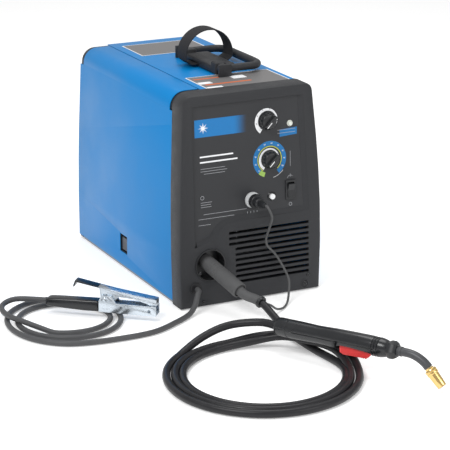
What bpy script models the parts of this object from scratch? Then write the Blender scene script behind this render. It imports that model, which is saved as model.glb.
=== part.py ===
"""MIG welding machine: a sheet-metal case with a moulded front, wire drive, welding gun and work clamp.

Metres, +Z up. The front faces -Y and +X is to the right as the user faces it.
The origin is at the centre of the flat base, on the surface that the machine stands on.
"""
import math

import bmesh
import bpy
import numpy as np
from mathutils import Matrix, Vector

# ---------------------------------------------------------------- driving dimensions
CASE_WIDTH = 0.267
CASE_DEPTH = 0.466
CASE_HEIGHT = 0.370
SIDE_TAPER = 0.0120          # how far each side leans in at the top
TAPER_START = 0.09           # height where a side starts to lean in
RIGHT_BULGE = 0.0050         # how far the right side swells at mid height
FACE_LEAN = 0.0147           # how far the front face leans back over the full height
BEZEL_DEPTH = 0.038          # front panel, front to back
BEZEL_PROUD = 0.0015         # how far the front panel stands out from the sheet metal
SHEET = 0.0015
GAP = 0.0003

HINGE_RADIUS = 0.027         # rounded top left corner, which the door turns on
FACE_CORNER = 0.015          # the same corner at the front panel's face
FACE_EDGE = 0.0038           # bevel round the face
RIGHT_RADIUS = 0.012
DOOR_TOP_EDGE = -0.070       # x where the door's top flange ends
SEAM_GAP = 0.002

SPOOL_RADIUS = 0.1015
SPOOL_WIDTH = 0.050
SPOOL_AT = (-0.094, 0.085, 0.195)
WIRE_X = -0.0785             # the plane that the welding wire runs in
WIRE_Z = 0.0735
ROLL_RADIUS = 0.015
PRESS_RADIUS = 0.012

GUN_CABLE_RADIUS = 0.0065
WORK_CABLE_RADIUS = 0.00475
LEAD_RADIUS = 0.002
HANDLE_PIVOT = (0.012, -0.0175, CASE_HEIGHT + 0.0125)

FRONT_Y = -CASE_DEPTH / 2
BACK_Y = CASE_DEPTH / 2
LEAN_SLOPE = FACE_LEAN / CASE_HEIGHT
REAR_INNER_Y = BACK_Y - 0.014
SHOE_LONG = 0.0200           # hinge shoe behind the front panel
NOTCH_LONG = 0.0135          # and how much of it the door's corner leaves bare
BAFFLE_X = -0.0040           # right face of the plate between the wire and power compartments
FEED_Y = -0.128
ROLL_Z = WIRE_Z - ROLL_RADIUS - 0.0006
PRESS_Z = WIRE_Z + PRESS_RADIUS + 0.0006
ARM_PIVOT_Y = FEED_Y + 0.030


# ---------------------------------------------------------------- scene and materials
def clear_scene():
    for old in list(bpy.data.objects):
        bpy.data.objects.remove(old, do_unlink=True)


def new_collection(name):
    collection = bpy.data.collections.new(name)
    bpy.context.scene.collection.children.link(collection)
    return collection


clear_scene()
PARTS = new_collection("mig_welding_machine")
CUTTERS = new_collection("cutters")


def material(name, color, roughness, metallic=0.0):
    mat = bpy.data.materials.new(name)
    mat.use_nodes = True
    shader = mat.node_tree.nodes["Principled BSDF"]
    shader.inputs["Base Color"].default_value = (*color, 1.0)
    shader.inputs["Roughness"].default_value = roughness
    shader.inputs["Metallic"].default_value = metallic
    mat.diffuse_color = (*color, 1.0)
    return mat


FINISHES = {
    "blue_paint": ((0.0, 0.19, 0.50), 0.35, 0.0),
    "black_plastic": ((0.022, 0.023, 0.025), 0.55, 0.0),
    "plate_black": ((0.028, 0.029, 0.031), 0.45, 0.0),
    "grey_plastic": ((0.55, 0.56, 0.57), 0.45, 0.0),
    "white_plastic": ((0.80, 0.80, 0.80), 0.40, 0.0),
    "red_plastic": ((0.62, 0.03, 0.03), 0.40, 0.0),
    "grey_rubber": ((0.085, 0.085, 0.088), 0.70, 0.0),
    "black_rubber": ((0.016, 0.016, 0.017), 0.60, 0.0),
    "webbing": ((0.030, 0.030, 0.032), 0.85, 0.0),
    "zinc_steel": ((0.62, 0.66, 0.70), 0.35, 1.0),
    "dark_steel": ((0.10, 0.10, 0.11), 0.45, 1.0),
    "grey_paint": ((0.30, 0.31, 0.32), 0.50, 0.0),
    "aluminium": ((0.75, 0.76, 0.77), 0.35, 1.0),
    "brass": ((0.72, 0.48, 0.18), 0.30, 1.0),
    "copper": ((0.72, 0.32, 0.18), 0.35, 1.0),
    "winding": ((0.45, 0.16, 0.06), 0.45, 0.6),
    "core_steel": ((0.16, 0.16, 0.17), 0.60, 0.8),
    "board_green": ((0.02, 0.16, 0.07), 0.50, 0.0),
    "wire_steel": ((0.60, 0.44, 0.30), 0.30, 1.0),
    "lamp_clear": ((0.75, 0.76, 0.70), 0.20, 0.0),
}
MATERIALS = {name: material(name, *values) for name, values in FINISHES.items()}


# ---------------------------------------------------------------- builders
def finish(obj, name, mat, collection=None):
    """Names an object, gives it its material and puts it in its collection."""
    obj.name = name
    obj.data.name = name
    for owner in list(obj.users_collection):
        owner.objects.unlink(obj)
    (collection or PARTS).objects.link(obj)
    if mat:
        obj.data.materials.append(MATERIALS[mat])
    return obj


def as_cutter(obj):
    for owner in list(obj.users_collection):
        owner.objects.unlink(obj)
    CUTTERS.objects.link(obj)
    obj.hide_render = True
    obj.display_type = "WIRE"
    return obj


def mesh_object(name, bm, mat):
    mesh = bpy.data.meshes.new(name)
    bm.to_mesh(mesh)
    bm.free()
    return finish(bpy.data.objects.new(name, mesh), name, mat)


def box(name, low, high, mat=None, round_by=0.0, segments=1):
    """A block between two corners, with its edges rounded if round_by is given."""
    bm = bmesh.new()
    bmesh.ops.create_cube(bm, size=1.0)
    size = [high[i] - low[i] for i in range(3)]
    middle = [(high[i] + low[i]) / 2 for i in range(3)]
    bmesh.ops.scale(bm, vec=size, verts=bm.verts)
    obj = mesh_object(name, bm, mat)
    obj.location = middle
    if round_by:
        bevel = obj.modifiers.new("round", "BEVEL")
        bevel.width = round_by
        bevel.segments = segments
    return obj


AXIS_TURN = {"Z": (0, 0, 0), "Y": (math.radians(-90), 0, 0), "X": (0, math.radians(90), 0)}


def turned(name, profile, mat=None, axis="Z", at=(0, 0, 0), steps=20, closed=False):
    """A turned shape. The profile is (radius, height) pairs, down the outer side from the top."""
    bm = bmesh.new()
    verts = [bm.verts.new((r, 0, h)) for r, h in profile]
    pairs = list(zip(verts, verts[1:]))
    if closed:
        pairs.append((verts[-1], verts[0]))
    for pair in pairs:
        bm.edges.new(pair)
    obj = mesh_object(name, bm, mat)
    screw = obj.modifiers.new("turn", "SCREW")
    screw.steps = screw.render_steps = steps
    screw.use_merge_vertices = True
    screw.merge_threshold = 0.00001
    obj.rotation_euler = AXIS_TURN[axis] if isinstance(axis, str) else axis
    obj.location = at
    return obj


def rod(name, radius, low, high, mat=None, axis="Z", at=(0, 0, 0), steps=16):
    return turned(name, [(0, high), (radius, high), (radius, low), (0, low)], mat, axis, at, steps)


def ring(name, outer, inner, low, high, mat=None, axis="Z", at=(0, 0, 0), steps=20):
    profile = [(inner, high), (outer, high), (outer, low), (inner, low)]
    return turned(name, profile, mat, axis, at, steps, closed=True)


def baked(obj):
    """The object as a plain mesh, with its modifiers applied and its caps welded."""
    bpy.context.view_layer.update()
    graph = bpy.context.evaluated_depsgraph_get()
    mesh = bpy.data.meshes.new_from_object(obj.evaluated_get(graph))
    bm = bmesh.new()
    bm.from_mesh(mesh)
    bmesh.ops.remove_doubles(bm, verts=bm.verts, dist=0.000001)
    bmesh.ops.recalc_face_normals(bm, faces=bm.faces)
    bm.to_mesh(mesh)
    bm.free()
    name, collection = obj.name, obj.users_collection[0]
    result = bpy.data.objects.new(name, mesh)
    result.matrix_world = obj.matrix_world
    parent = obj.parent
    bpy.data.objects.remove(obj, do_unlink=True)
    result.name = name
    collection.objects.link(result)
    if parent:
        place = result.matrix_world.copy()
        result.parent = parent
        result.matrix_world = place
    return result


def plate(name, outline, thick, mat=None, facing="Z", at=(0, 0, 0), bevel=0.0):
    """A flat outline given thickness. Facing Y, its outline is (x, z); facing X, it is (y, z)."""
    curve = bpy.data.curves.new(name, "CURVE")
    curve.dimensions = "2D"
    curve.fill_mode = "BOTH"
    curve.extrude = thick / 2
    spline = curve.splines.new("POLY")
    spline.points.add(len(outline) - 1)
    for point, (u, v) in zip(spline.points, outline):
        point.co = (u, v, 0, 1)
    spline.use_cyclic_u = True
    obj = finish(bpy.data.objects.new(name, curve), name, mat)
    turns = {"Z": (0, 0, 0), "Y": (math.pi / 2, 0, 0), "X": (math.pi / 2, 0, math.pi / 2)}
    obj.rotation_euler = turns[facing]
    obj.location = at
    obj = baked(obj)
    if bevel:
        edge = obj.modifiers.new("round", "BEVEL")
        edge.width = bevel
        edge.segments = 1
        edge.limit_method = "ANGLE"
    return obj


def tube(name, points, radius, mat=None, resolution=2):
    """A round bar or cable along the points."""
    curve = bpy.data.curves.new(name, "CURVE")
    curve.dimensions = "3D"
    curve.bevel_depth = radius
    curve.bevel_resolution = resolution
    curve.use_fill_caps = True
    spline = curve.splines.new("POLY")
    spline.points.add(len(points) - 1)
    for point, place in zip(spline.points, points):
        point.co = (*place, 1)
    return finish(bpy.data.objects.new(name, curve), name, mat)


def boolean(obj, other, operation="DIFFERENCE"):
    step = obj.modifiers.new(operation.lower(), "BOOLEAN")
    step.operation = operation
    step.object = as_cutter(other)
    step.solver = "EXACT"
    return obj


def cut(obj, *others):
    for other in others:
        boolean(obj, other)
    return obj


def join(obj, *others):
    for other in others:
        boolean(obj, other, "UNION")
    return obj


def hang_on(parent, *objects):
    """Parents objects that were modelled in the parent's own coordinates, with their cutters."""
    for obj in objects:
        obj.parent = parent
        for modifier in obj.modifiers:
            if modifier.type == "BOOLEAN":
                modifier.object.parent = parent


def empty(name, location=(0, 0, 0), rotation=(0, 0, 0)):
    holder = bpy.data.objects.new(name, None)
    holder.location = location
    holder.rotation_euler = rotation
    PARTS.objects.link(holder)
    return holder


def arc(center, radius, start_deg, end_deg, count):
    angles = np.radians(np.linspace(start_deg, end_deg, count))
    return [(center[0] + radius * math.cos(a), center[1] + radius * math.sin(a)) for a in angles]


def smooth_route(points, spacing, lowest):
    """Points about one spacing apart along a smooth curve through the given ones, none below the lowest height."""
    route = [Vector(p) for p in points]
    route = [route[0] * 2 - route[1]] + route + [route[-1] * 2 - route[-2]]
    fine = []
    for a, b, c, d in zip(route, route[1:], route[2:], route[3:]):
        for t in np.linspace(0, 1, 24, endpoint=False):
            fine.append(0.5 * ((2 * b) + (c - a) * t + (2 * a - 5 * b + 4 * c - d) * t**2
                               + (3 * b - a - 3 * c + d) * t**3))
    fine.append(route[-2])
    lengths = [0.0]
    for a, b in zip(fine, fine[1:]):
        lengths.append(lengths[-1] + (b - a).length)
    steps = max(2, round(lengths[-1] / spacing))
    wanted = np.linspace(0, lengths[-1], steps + 1)
    across = [np.interp(wanted, lengths, [p[i] for p in fine]) for i in range(3)]
    return [(x, y, max(z, lowest)) for x, y, z in zip(*across)]


# ---------------------------------------------------------------- the case's cross-section
def half_width(z, grow=0.0):
    lean = max(0.0, (z - TAPER_START) / (CASE_HEIGHT - TAPER_START))
    return CASE_WIDTH / 2 - SIDE_TAPER * lean**1.5 + grow


def left_side(grow=0.0, bottom=0.002, corner=HINGE_RADIUS):
    """Points (x, z) up the left side and over the rounded corner."""
    top = CASE_HEIGHT + grow
    radius = corner + grow
    shoulder = top - radius
    rise = [bottom + (shoulder - bottom) * t for t in (0, 0.25, 0.45, 0.62, 0.78, 0.9)]
    middle = (-half_width(shoulder, grow) + radius, shoulder)
    return [(-half_width(z, grow), z) for z in rise] + arc(middle, radius, 180, 90, 8)


def right_side(grow=0.0, bottom=0.002):
    """Points (x, z) over the right corner and down the right side."""
    top = CASE_HEIGHT + grow
    radius = RIGHT_RADIUS + grow
    shoulder = top - radius
    fall = [bottom + (shoulder - bottom) * t for t in (0.9, 0.78, 0.62, 0.45, 0.25, 0)]
    middle = (half_width(shoulder, grow) - radius, shoulder)
    side = [(half_width(z, grow) + RIGHT_BULGE * math.sin(math.pi * z / shoulder), z) for z in fall]
    return arc(middle, radius, 90, 0, 5) + side


SHOULDER_Z = CASE_HEIGHT - HINGE_RADIUS
HINGE_X = HINGE_RADIUS - half_width(SHOULDER_Z)


def face_y(z):
    return FRONT_Y + LEAN_SLOPE * z


def bezel_back_y(z):
    """The front panel's back edge, which leans a little more than its face."""
    return FRONT_Y + BEZEL_DEPTH + 1.3 * LEAN_SLOPE * z


def rear_y(_z):
    return REAR_INNER_Y


def moved_copy(made, y_of):
    for item in made:
        if isinstance(item, bmesh.types.BMVert):
            item.co.y = y_of(item.co.z)


def sheet_shell(name, section, mat, front_gap=GAP):
    """Bent sheet metal: the section run from the front panel to the back, thickened inwards."""
    bm = bmesh.new()
    verts = [bm.verts.new((x, bezel_back_y(z) + front_gap, z)) for x, z in section]
    edges = [bm.edges.new(pair) for pair in zip(verts, verts[1:])]
    made = bmesh.ops.extrude_edge_only(bm, edges=edges)["geom"]
    moved_copy(made, lambda z: BACK_Y)
    bmesh.ops.recalc_face_normals(bm, faces=bm.faces)
    if max(bm.faces, key=lambda face: face.calc_center_median().z).normal.z < 0:
        bmesh.ops.reverse_faces(bm, faces=bm.faces)
    obj = mesh_object(name, bm, mat)
    solidify = obj.modifiers.new("sheet", "SOLIDIFY")
    solidify.thickness = SHEET
    solidify.offset = -1.0
    return obj


def case_solid(name, grow, bottom, front_y, back_y, mat=None, front_corner=HINGE_RADIUS):
    """A closed block of the case's outline, between two surfaces given as y of z.

    Its front may have a tighter left corner than its back.
    """
    bm = bmesh.new()
    outline = left_side(grow, bottom) + right_side(grow, bottom)
    corners = [bm.verts.new((x, front_y(z), z)) for x, z in outline]
    made = bmesh.ops.extrude_face_region(bm, geom=[bm.faces.new(corners)])["geom"]
    moved_copy(made, back_y)
    for vert, (x, z) in zip(corners, left_side(grow, bottom, front_corner)):
        vert.co = (x, front_y(z), z)
    bmesh.ops.recalc_face_normals(bm, faces=bm.faces)
    return mesh_object(name, bm, mat)


# ---------------------------------------------------------------- front panel
FACE = empty("front_face", (0, FRONT_Y, 0), (-math.atan(LEAN_SLOPE), 0, 0))
OUTWARD = (math.radians(90), 0, 0)     # lays a turned shape's +Z along the face's outward normal
RECESS_DEEP = 0.005
FACE_WALL = 0.010
SEAT = RECESS_DEEP - 0.0015            # depth of the control plate's outer surface
LOUVERS = 10
LOUVER_PITCH = 0.0099
LOUVER_TALL = 0.0052
LOUVER_BOTTOM = 0.036
LOUVER_ENDS = (-0.030, 0.114)
VOLTAGE_AT = (0.0361, 0.3142)          # controls: x, and distance up the face
SPEED_AT = (0.0401, 0.2459)
LAMP_AT = (0.0798, 0.3052)
BUTTON_AT = (0.0432, 0.1796)
SOCKET_AT = (0.0052, 0.1784)
ROCKER_AT = (0.0800, 0.1870)
WORK_EXIT = (-0.1073, 0.0360)
CONTROL_HOLES = [("voltage", *VOLTAGE_AT, 0.0040), ("speed", *SPEED_AT, 0.0040), ("lamp", *LAMP_AT, 0.0036),
                 ("button", *BUTTON_AT, 0.0056), ("socket", *SOCKET_AT, 0.0086)]


def on_face(obj):
    """Hangs an object on the leaning face, in whose coordinates y is depth and z runs up the slope."""
    obj.parent = FACE
    return obj


def recess_outline(inset=0.0):
    """The control area. Its lower edge steps down past the gun socket."""
    top, left = 0.3537 - inset, -0.1075 + inset
    low = [(0.115 - inset, 0.1465), (0.038, 0.1455), (-0.028, 0.1455), (-0.048, 0.1415), (-0.060, 0.1325),
           (-0.071, 0.1175), (left, 0.1075)]
    return [(left, top), (0.104 - inset, top)] + [(x, z + inset) for x, z in low]


def hinge_shoe(name, shoe_y, filler_y):
    """The round shoe that the door's hollow corner turns on, with a filler in the notch beside it."""
    shoe = rod(name, HINGE_RADIUS - 0.002, *shoe_y, axis="Y", at=(HINGE_X, 0, SHOULDER_Z), steps=24)
    filler = box(f"{name}_filler", (HINGE_X, filler_y[0], CASE_HEIGHT - 0.010),
                 (DOOR_TOP_EDGE + SEAM_GAP - GAP, filler_y[1], CASE_HEIGHT - 0.002))
    return shoe, filler


def control_cuts(prefix, low, high):
    cutters = [on_face(rod(f"{prefix}_{name}_hole", radius, low, high, axis="Y", at=(x, 0, z)))
               for name, x, z, radius in CONTROL_HOLES]
    x, z = ROCKER_AT
    window = box(f"{prefix}_switch_hole", (x - 0.0085, low, z - 0.0150), (x + 0.0085, high, z + 0.0150))
    return cutters + [on_face(window)]


def build_front_panel():
    panel = case_solid("front_panel", BEZEL_PROUD, 0.001, face_y, lambda z: bezel_back_y(z) - GAP, "black_plastic",
                       FACE_CORNER)
    weights = panel.data.attributes.new("bevel_weight_edge", "FLOAT", "EDGE")
    points = panel.data.vertices
    for edge in panel.data.edges:
        in_front = all(abs(points[i].co.y - face_y(points[i].co.z)) < 1e-5 for i in edge.vertices)
        weights.data[edge.index].value = 1.0 if in_front else 0.0
    bevel = panel.modifiers.new("front_edge", "BEVEL")
    bevel.limit_method = "WEIGHT"
    bevel.width = FACE_EDGE
    bevel.segments = 2
    hollow = case_solid("front_hollow", -0.0025, 0.0045, lambda z: face_y(z) + FACE_WALL, lambda z: FRONT_Y + 0.09)
    cut(panel, hollow)
    back = bezel_back_y(SHOULDER_Z)
    join(panel, *hinge_shoe("front_shoe", (back - 0.016, back + SHOE_LONG), (back - 0.016, back + NOTCH_LONG - 0.0005)))
    recess = on_face(plate("control_recess", recess_outline(), 0.02, facing="Y", at=(0, RECESS_DEEP - 0.01, 0)))
    gun_hole = on_face(rod("gun_hole", 0.029, -0.03, 0.03, axis="Y", at=(WIRE_X, 0, WIRE_Z), steps=32))
    work_hole = on_face(rod("work_hole", 0.0085, -0.03, 0.03, axis="Y", at=(WORK_EXIT[0], 0, WORK_EXIT[1])))
    cut(panel, recess, gun_hole, work_hole, *control_cuts("panel", -0.03, 0.03))
    for k in range(LOUVERS):
        z = LOUVER_BOTTOM + k * LOUVER_PITCH
        left = LOUVER_ENDS[0] - (0.012 if z > 0.105 else 0.0)
        low, high = z - LOUVER_TALL / 2, z + LOUVER_TALL / 2
        cut(panel, on_face(box(f"louver_{k}", (left, -0.02, low), (LOUVER_ENDS[1], 0.03, high))))
    plate_at = (0, SEAT + 0.0006, 0)
    control = on_face(plate("control_plate", recess_outline(0.001), 0.0012, "plate_black", "Y", plate_at))
    cut(control, *control_cuts("plate", -0.01, 0.02))


# ---------------------------------------------------------------- case: base, covers, door
LATCH_Y = (0.0035, 0.0355)
LATCH_Z = (0.030, 0.064)
DOOR_INSIDE_X = SHEET - CASE_WIDTH / 2


def build_case():
    base = box("base_pan", (-0.1305, -0.186, 0), (0.1305, REAR_INNER_Y - 0.003, 0.015), "grey_paint")
    cut(base, box("base_tray", (-0.1285, -0.184, 0.002), (0.1285, REAR_INNER_Y - 0.005, 0.03)))
    build_front_panel()
    sheet_shell("wrapper", [(DOOR_TOP_EDGE + SEAM_GAP, CASE_HEIGHT)] + right_side(), "blue_paint")
    build_door()
    build_rear_panel()
    baffle = box("baffle_plate", (BAFFLE_X - SHEET, -0.1835, 0.0023), (BAFFLE_X, REAR_INNER_Y - 0.0055, 0.335), "grey_paint")
    cut(baffle, rod("shaft_hole", 0.010, -0.02, 0.02, axis="X", at=(BAFFLE_X, FEED_Y, ROLL_Z)))


def build_door():
    """A gull-wing panel. It turns on the shoes of the front and rear panels, inside its rounded corner."""
    door = sheet_shell("door", left_side(bottom=0.006) + [(DOOR_TOP_EDGE, CASE_HEIGHT)], "blue_paint", 0.0005)
    front = bezel_back_y(SHOULDER_Z)
    for name, low, high in (("front", front - 0.01, front + NOTCH_LONG), ("rear", BACK_Y - 0.0145, BACK_Y + 0.01)):
        cut(door, box(f"door_{name}_notch", (-0.20, low, SHOULDER_Z - 0.004), (0.0, high, CASE_HEIGHT + 0.01)))
    cut(door, box("door_relief", (-0.20, front - 0.01, SHOULDER_Z - HINGE_RADIUS),
                  (-0.10, bezel_back_y(CASE_HEIGHT) + 0.0008, SHOULDER_Z)))
    cut(door, box("latch_slot", (-0.15, LATCH_Y[0], LATCH_Z[0]), (-0.12, LATCH_Y[1], LATCH_Z[1])))
    shift_origin(door, (HINGE_X, 0, SHOULDER_Z))
    inside = DOOR_INSIDE_X + GAP
    frame = box("latch_frame", (inside, LATCH_Y[0] - 0.006, LATCH_Z[0] - 0.006),
                (inside + 0.0075, LATCH_Y[1] + 0.006, LATCH_Z[1] + 0.006), "black_plastic")
    cut(frame, box("latch_window", (-0.15, LATCH_Y[0] + 0.0015, LATCH_Z[0] + 0.0015),
                   (-0.10, LATCH_Y[1] - 0.0015, LATCH_Z[1] - 0.0015)))
    latch = box("door_latch", (inside + 0.001, LATCH_Y[0] + 0.003, LATCH_Z[0] + 0.0035),
                (inside + 0.0060, LATCH_Y[1] - 0.003, LATCH_Z[1] - 0.0055), "black_plastic", 0.001)
    shift_origin(latch, (inside + 0.0035, sum(LATCH_Y) / 2, LATCH_Z[1] - 0.006))


def shift_origin(obj, place):
    """Moves an object's origin to its joint axis without moving its shape."""
    bpy.context.view_layer.update()
    offset = obj.matrix_world.inverted() @ Vector(place)
    obj.data.transform(Matrix.Translation(-offset))
    obj.location = obj.matrix_world @ offset


# ---------------------------------------------------------------- rear panel
FAN_AT = (0.066, 0.190, 0.150)
FAN_RADIUS = 0.052
CORD_EXIT = (0.060, BACK_Y - 0.002, 0.050)
GAS_EXIT = (-0.070, BACK_Y - 0.002, 0.060)


def build_rear_panel():
    outer = BACK_Y - 0.002
    panel = case_solid("rear_panel", -SHEET - 0.0005, 0.0022, rear_y, lambda z: outer, "black_plastic")
    cut(panel, case_solid("rear_hollow", -0.0055, 0.0075, lambda z: REAR_INNER_Y - 0.01, lambda z: outer - 0.0035))
    join(panel, *hinge_shoe("rear_shoe", (BACK_Y - 0.0215, outer - 0.001), (REAR_INNER_Y, outer - 0.001)))
    for k in range(9):
        z = FAN_AT[2] - 0.048 + k * 0.012
        cut(panel, box(f"rear_louver_{k}", (0.016, BACK_Y - 0.02, z - 0.003), (0.116, BACK_Y + 0.01, z + 0.003)))
    cut(panel, rod("cord_hole", 0.0110, -0.02, 0.02, axis="Y", at=CORD_EXIT))
    cut(panel, rod("gas_hole", 0.0065, -0.02, 0.02, axis="Y", at=GAS_EXIT))
    turned("power_cord_gland", [(0.0062, 0.022), (0.0100, 0.022), (0.0125, 0.012), (0.0155, 0.0035), (0.0155, GAP),
                                (0.0105, GAP), (0.0105, -0.016), (0.0062, -0.016)],
           "black_plastic", "Y", CORD_EXIT, 16, closed=True)
    turned("gas_inlet_fitting", [(0, 0.020), (0.0045, 0.020), (0.0045, 0.006), (0.0095, 0.006), (0.0095, GAP),
                                 (0.0060, GAP), (0.0060, -0.0160), (0, -0.0160)],
           "brass", "Y", GAS_EXIT, 6)
    x, y, z = GAS_EXIT
    box("gas_valve", (x - 0.013, y - 0.058, z - 0.016), (x + 0.013, y - 0.0163, z + 0.018), "brass")


# ---------------------------------------------------------------- controls
KNOB_REST = math.radians(-45)
ROCKER_TILT = 8.0
PLUG_LONG = 0.050


def knob(name, x, z):
    """A round skirt with a finger bar, on a shaft through the panel."""
    profile = [(0, 0.0125), (0.0125, 0.0125), (0.0138, 0.0110), (0.0148, 0.0030), (0.0156, GAP),
               (0.0030, GAP), (0.0030, -0.018), (0, -0.018)]
    body = on_face(turned(name, profile, "black_plastic", OUTWARD, (x, SEAT, z), 24))
    bar = box(f"{name}_bar", (-0.0032, -0.0135, 0.010), (0.0032, 0.0135, 0.0200), None, 0.0012)
    bar.parent = body
    bar.rotation_euler = (0, 0, KNOB_REST)
    return join(body, bar)


def build_controls():
    knob("voltage_knob", *VOLTAGE_AT)
    knob("wire_speed_knob", *SPEED_AT)
    on_face(turned("indicator_lamp", [(0, 0.0062), (0.0024, 0.0056), (0.0041, 0.0038), (0.0047, GAP), (0.0032, GAP),
                                      (0.0032, -0.012), (0, -0.012)],
                   "lamp_clear", OUTWARD, (LAMP_AT[0], SEAT, LAMP_AT[1]), 16))
    on_face(turned("reset_button", [(0, 0.0058), (0.0040, 0.0056), (0.0050, 0.0046), (0.0052, -0.010), (0, -0.010)],
                   "white_plastic", OUTWARD, (BUTTON_AT[0], SEAT, BUTTON_AT[1]), 16))
    build_rocker(*ROCKER_AT)
    place = (SOCKET_AT[0], SEAT, SOCKET_AT[1])
    on_face(turned("trigger_receptacle", [(0.0075, 0.0095), (0.0108, 0.0095), (0.0116, 0.0085), (0.0120, GAP),
                                          (0.0082, GAP), (0.0082, -0.016), (0.0075, -0.016)],
                   "grey_plastic", OUTWARD, place, 20, closed=True))
    on_face(turned("trigger_plug", [(0, PLUG_LONG), (0.0050, PLUG_LONG), (0.0062, PLUG_LONG - 0.012),
                                    (0.0085, PLUG_LONG - 0.016), (0.0092, PLUG_LONG - 0.020), (0.0092, 0.0100),
                                    (0.0070, 0.0100), (0.0070, -0.010), (0, -0.010)],
                   "black_plastic", OUTWARD, place, 16))
    on_face(turned("work_cable_gland", [(0, 0.0017), (0.0095, 0.0017), (0.0105, 0.0010), (0.0105, GAP), (0.0080, GAP),
                                        (0.0080, -0.012), (0, -0.012)],
                   "black_rubber", OUTWARD, (WORK_EXIT[0], 0, WORK_EXIT[1]), 16))


def build_rocker(x, z):
    frame = box("switch_bezel", (x - 0.0100, SEAT - 0.0025, z - 0.0178), (x + 0.0100, SEAT - GAP, z + 0.0178),
                "black_plastic", 0.0008)
    skirt = on_face(box("switch_skirt", (x - 0.0080, SEAT - 0.0010, z - 0.0146), (x + 0.0080, 0.022, z + 0.0146)))
    window = on_face(box("switch_window", (x - 0.0068, -0.01, z - 0.0136), (x + 0.0068, 0.04, z + 0.0136)))
    cut(join(on_face(frame), skirt), window)
    side = [(-0.0062, 0.0120), (-0.0058, 0.0124), (0.0030, 0.0112), (0.0050, 0.0), (0.0030, -0.0112),
            (-0.0058, -0.0124), (-0.0062, -0.0120), (-0.0034, 0.0)]
    rocker = plate("power_rocker", side, 0.0126, "black_plastic", "X")
    rocker.data.transform(rocker.matrix_world)
    rocker.rotation_euler = (math.radians(ROCKER_TILT), 0, 0)
    rocker.location = (x, SEAT, z)
    on_face(rocker)


# ---------------------------------------------------------------- carry handle and cable strap
ARM_HALF = 0.078
GRIP_X = 0.075
BAR = 0.0075


def build_handle():
    px, mid, pz = HANDLE_PIVOT
    top = CASE_HEIGHT + GAP
    base = box("handle_base", (0.001, mid - 0.056, top), (0.048, mid + 0.056, top + 0.015), "black_plastic", 0.004, 2)
    bar = carry_bar(px, mid, pz)
    for side in (-1, 1):
        low, high = sorted((mid + side * 0.050, mid + side * (ARM_HALF - BAR - 0.0006)))
        join(base, box(f"handle_ear_{side}", (px - 0.0105, low, top), (px + 0.0105, high, pz + 0.0095), None, 0.002))
        end = ARM_HALF + BAR + 0.0006
        low, high = sorted((mid + side * 0.060, mid + side * (end + 0.003)))
        join(base, rod(f"handle_pin_{side}", 0.0032, low, high, axis="Y", at=(px, 0, pz), steps=12))
        low, high = sorted((mid + side * end, mid + side * (end + 0.005)))
        join(base, box(f"handle_end_{side}", (px - 0.0135, low, top), (px + 0.0105, high, pz + 0.0095)))
    cut(base, box("strap_slot", (-0.02, -0.0200, top + 0.0035), (0.07, 0.0200, top + 0.0075)))
    shift_origin(bar, (px, mid, pz))
    build_strap(top + 0.0055)


def carry_bar(px, mid, pz):
    """The U-shaped handle, folded flat to the right: a grip between two arms with pivot eyes."""
    corner = 0.020
    y0, y1 = mid - ARM_HALF, mid + ARM_HALF
    bend = px + GRIP_X - corner
    path = [(px + 0.004, y0)] + arc((bend, y0 + corner), corner, -90, 0, 6)
    path += arc((bend, y1 - corner), corner, 0, 90, 6) + [(px + 0.004, y1)]
    bar = baked(tube("carry_handle", [(x, y, pz) for x, y in path], BAR, "black_plastic", 3))
    for name, y in (("near", y0), ("far", y1)):
        join(bar, rod(f"handle_eye_{name}", 0.0090, -BAR, BAR, axis="Y", at=(px, y, pz)))
    for name, y in (("near", y0), ("far", y1)):
        cut(bar, rod(f"handle_bore_{name}", 0.0036, -0.02, 0.02, axis="Y", at=(px, y, pz), steps=12))
    return bar


def build_strap(low):
    """A webbing loop through the slot under the handle base."""
    thick, wide = 0.0022, 0.036
    middle = 0.0235
    loop = [(middle - 0.034, low), (middle + 0.034, low)] + arc((middle, low + 0.0145), 0.0460, -8, 188, 15)
    strap = plate("cable_strap", offset_outline(loop, thick / 2), wide, "webbing", "Y")
    cut(strap, plate("strap_inside", offset_outline(loop, -thick / 2), wide * 2, None, "Y"))


def offset_outline(outline, distance):
    """A closed counter-clockwise outline moved outwards by the distance."""
    moved = []
    for i, point in enumerate(outline):
        before, here, after = (Vector(p) for p in (outline[i - 1], point, outline[(i + 1) % len(outline)]))
        along = ((here - before).normalized() + (after - here).normalized()).normalized()
        moved.append((here.x + along.y * distance, here.y - along.x * distance))
    return moved


# ---------------------------------------------------------------- wire drive and spool
TO_LEFT = (0, math.radians(-90), 0)    # lays a turned shape's +Z along -X


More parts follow.
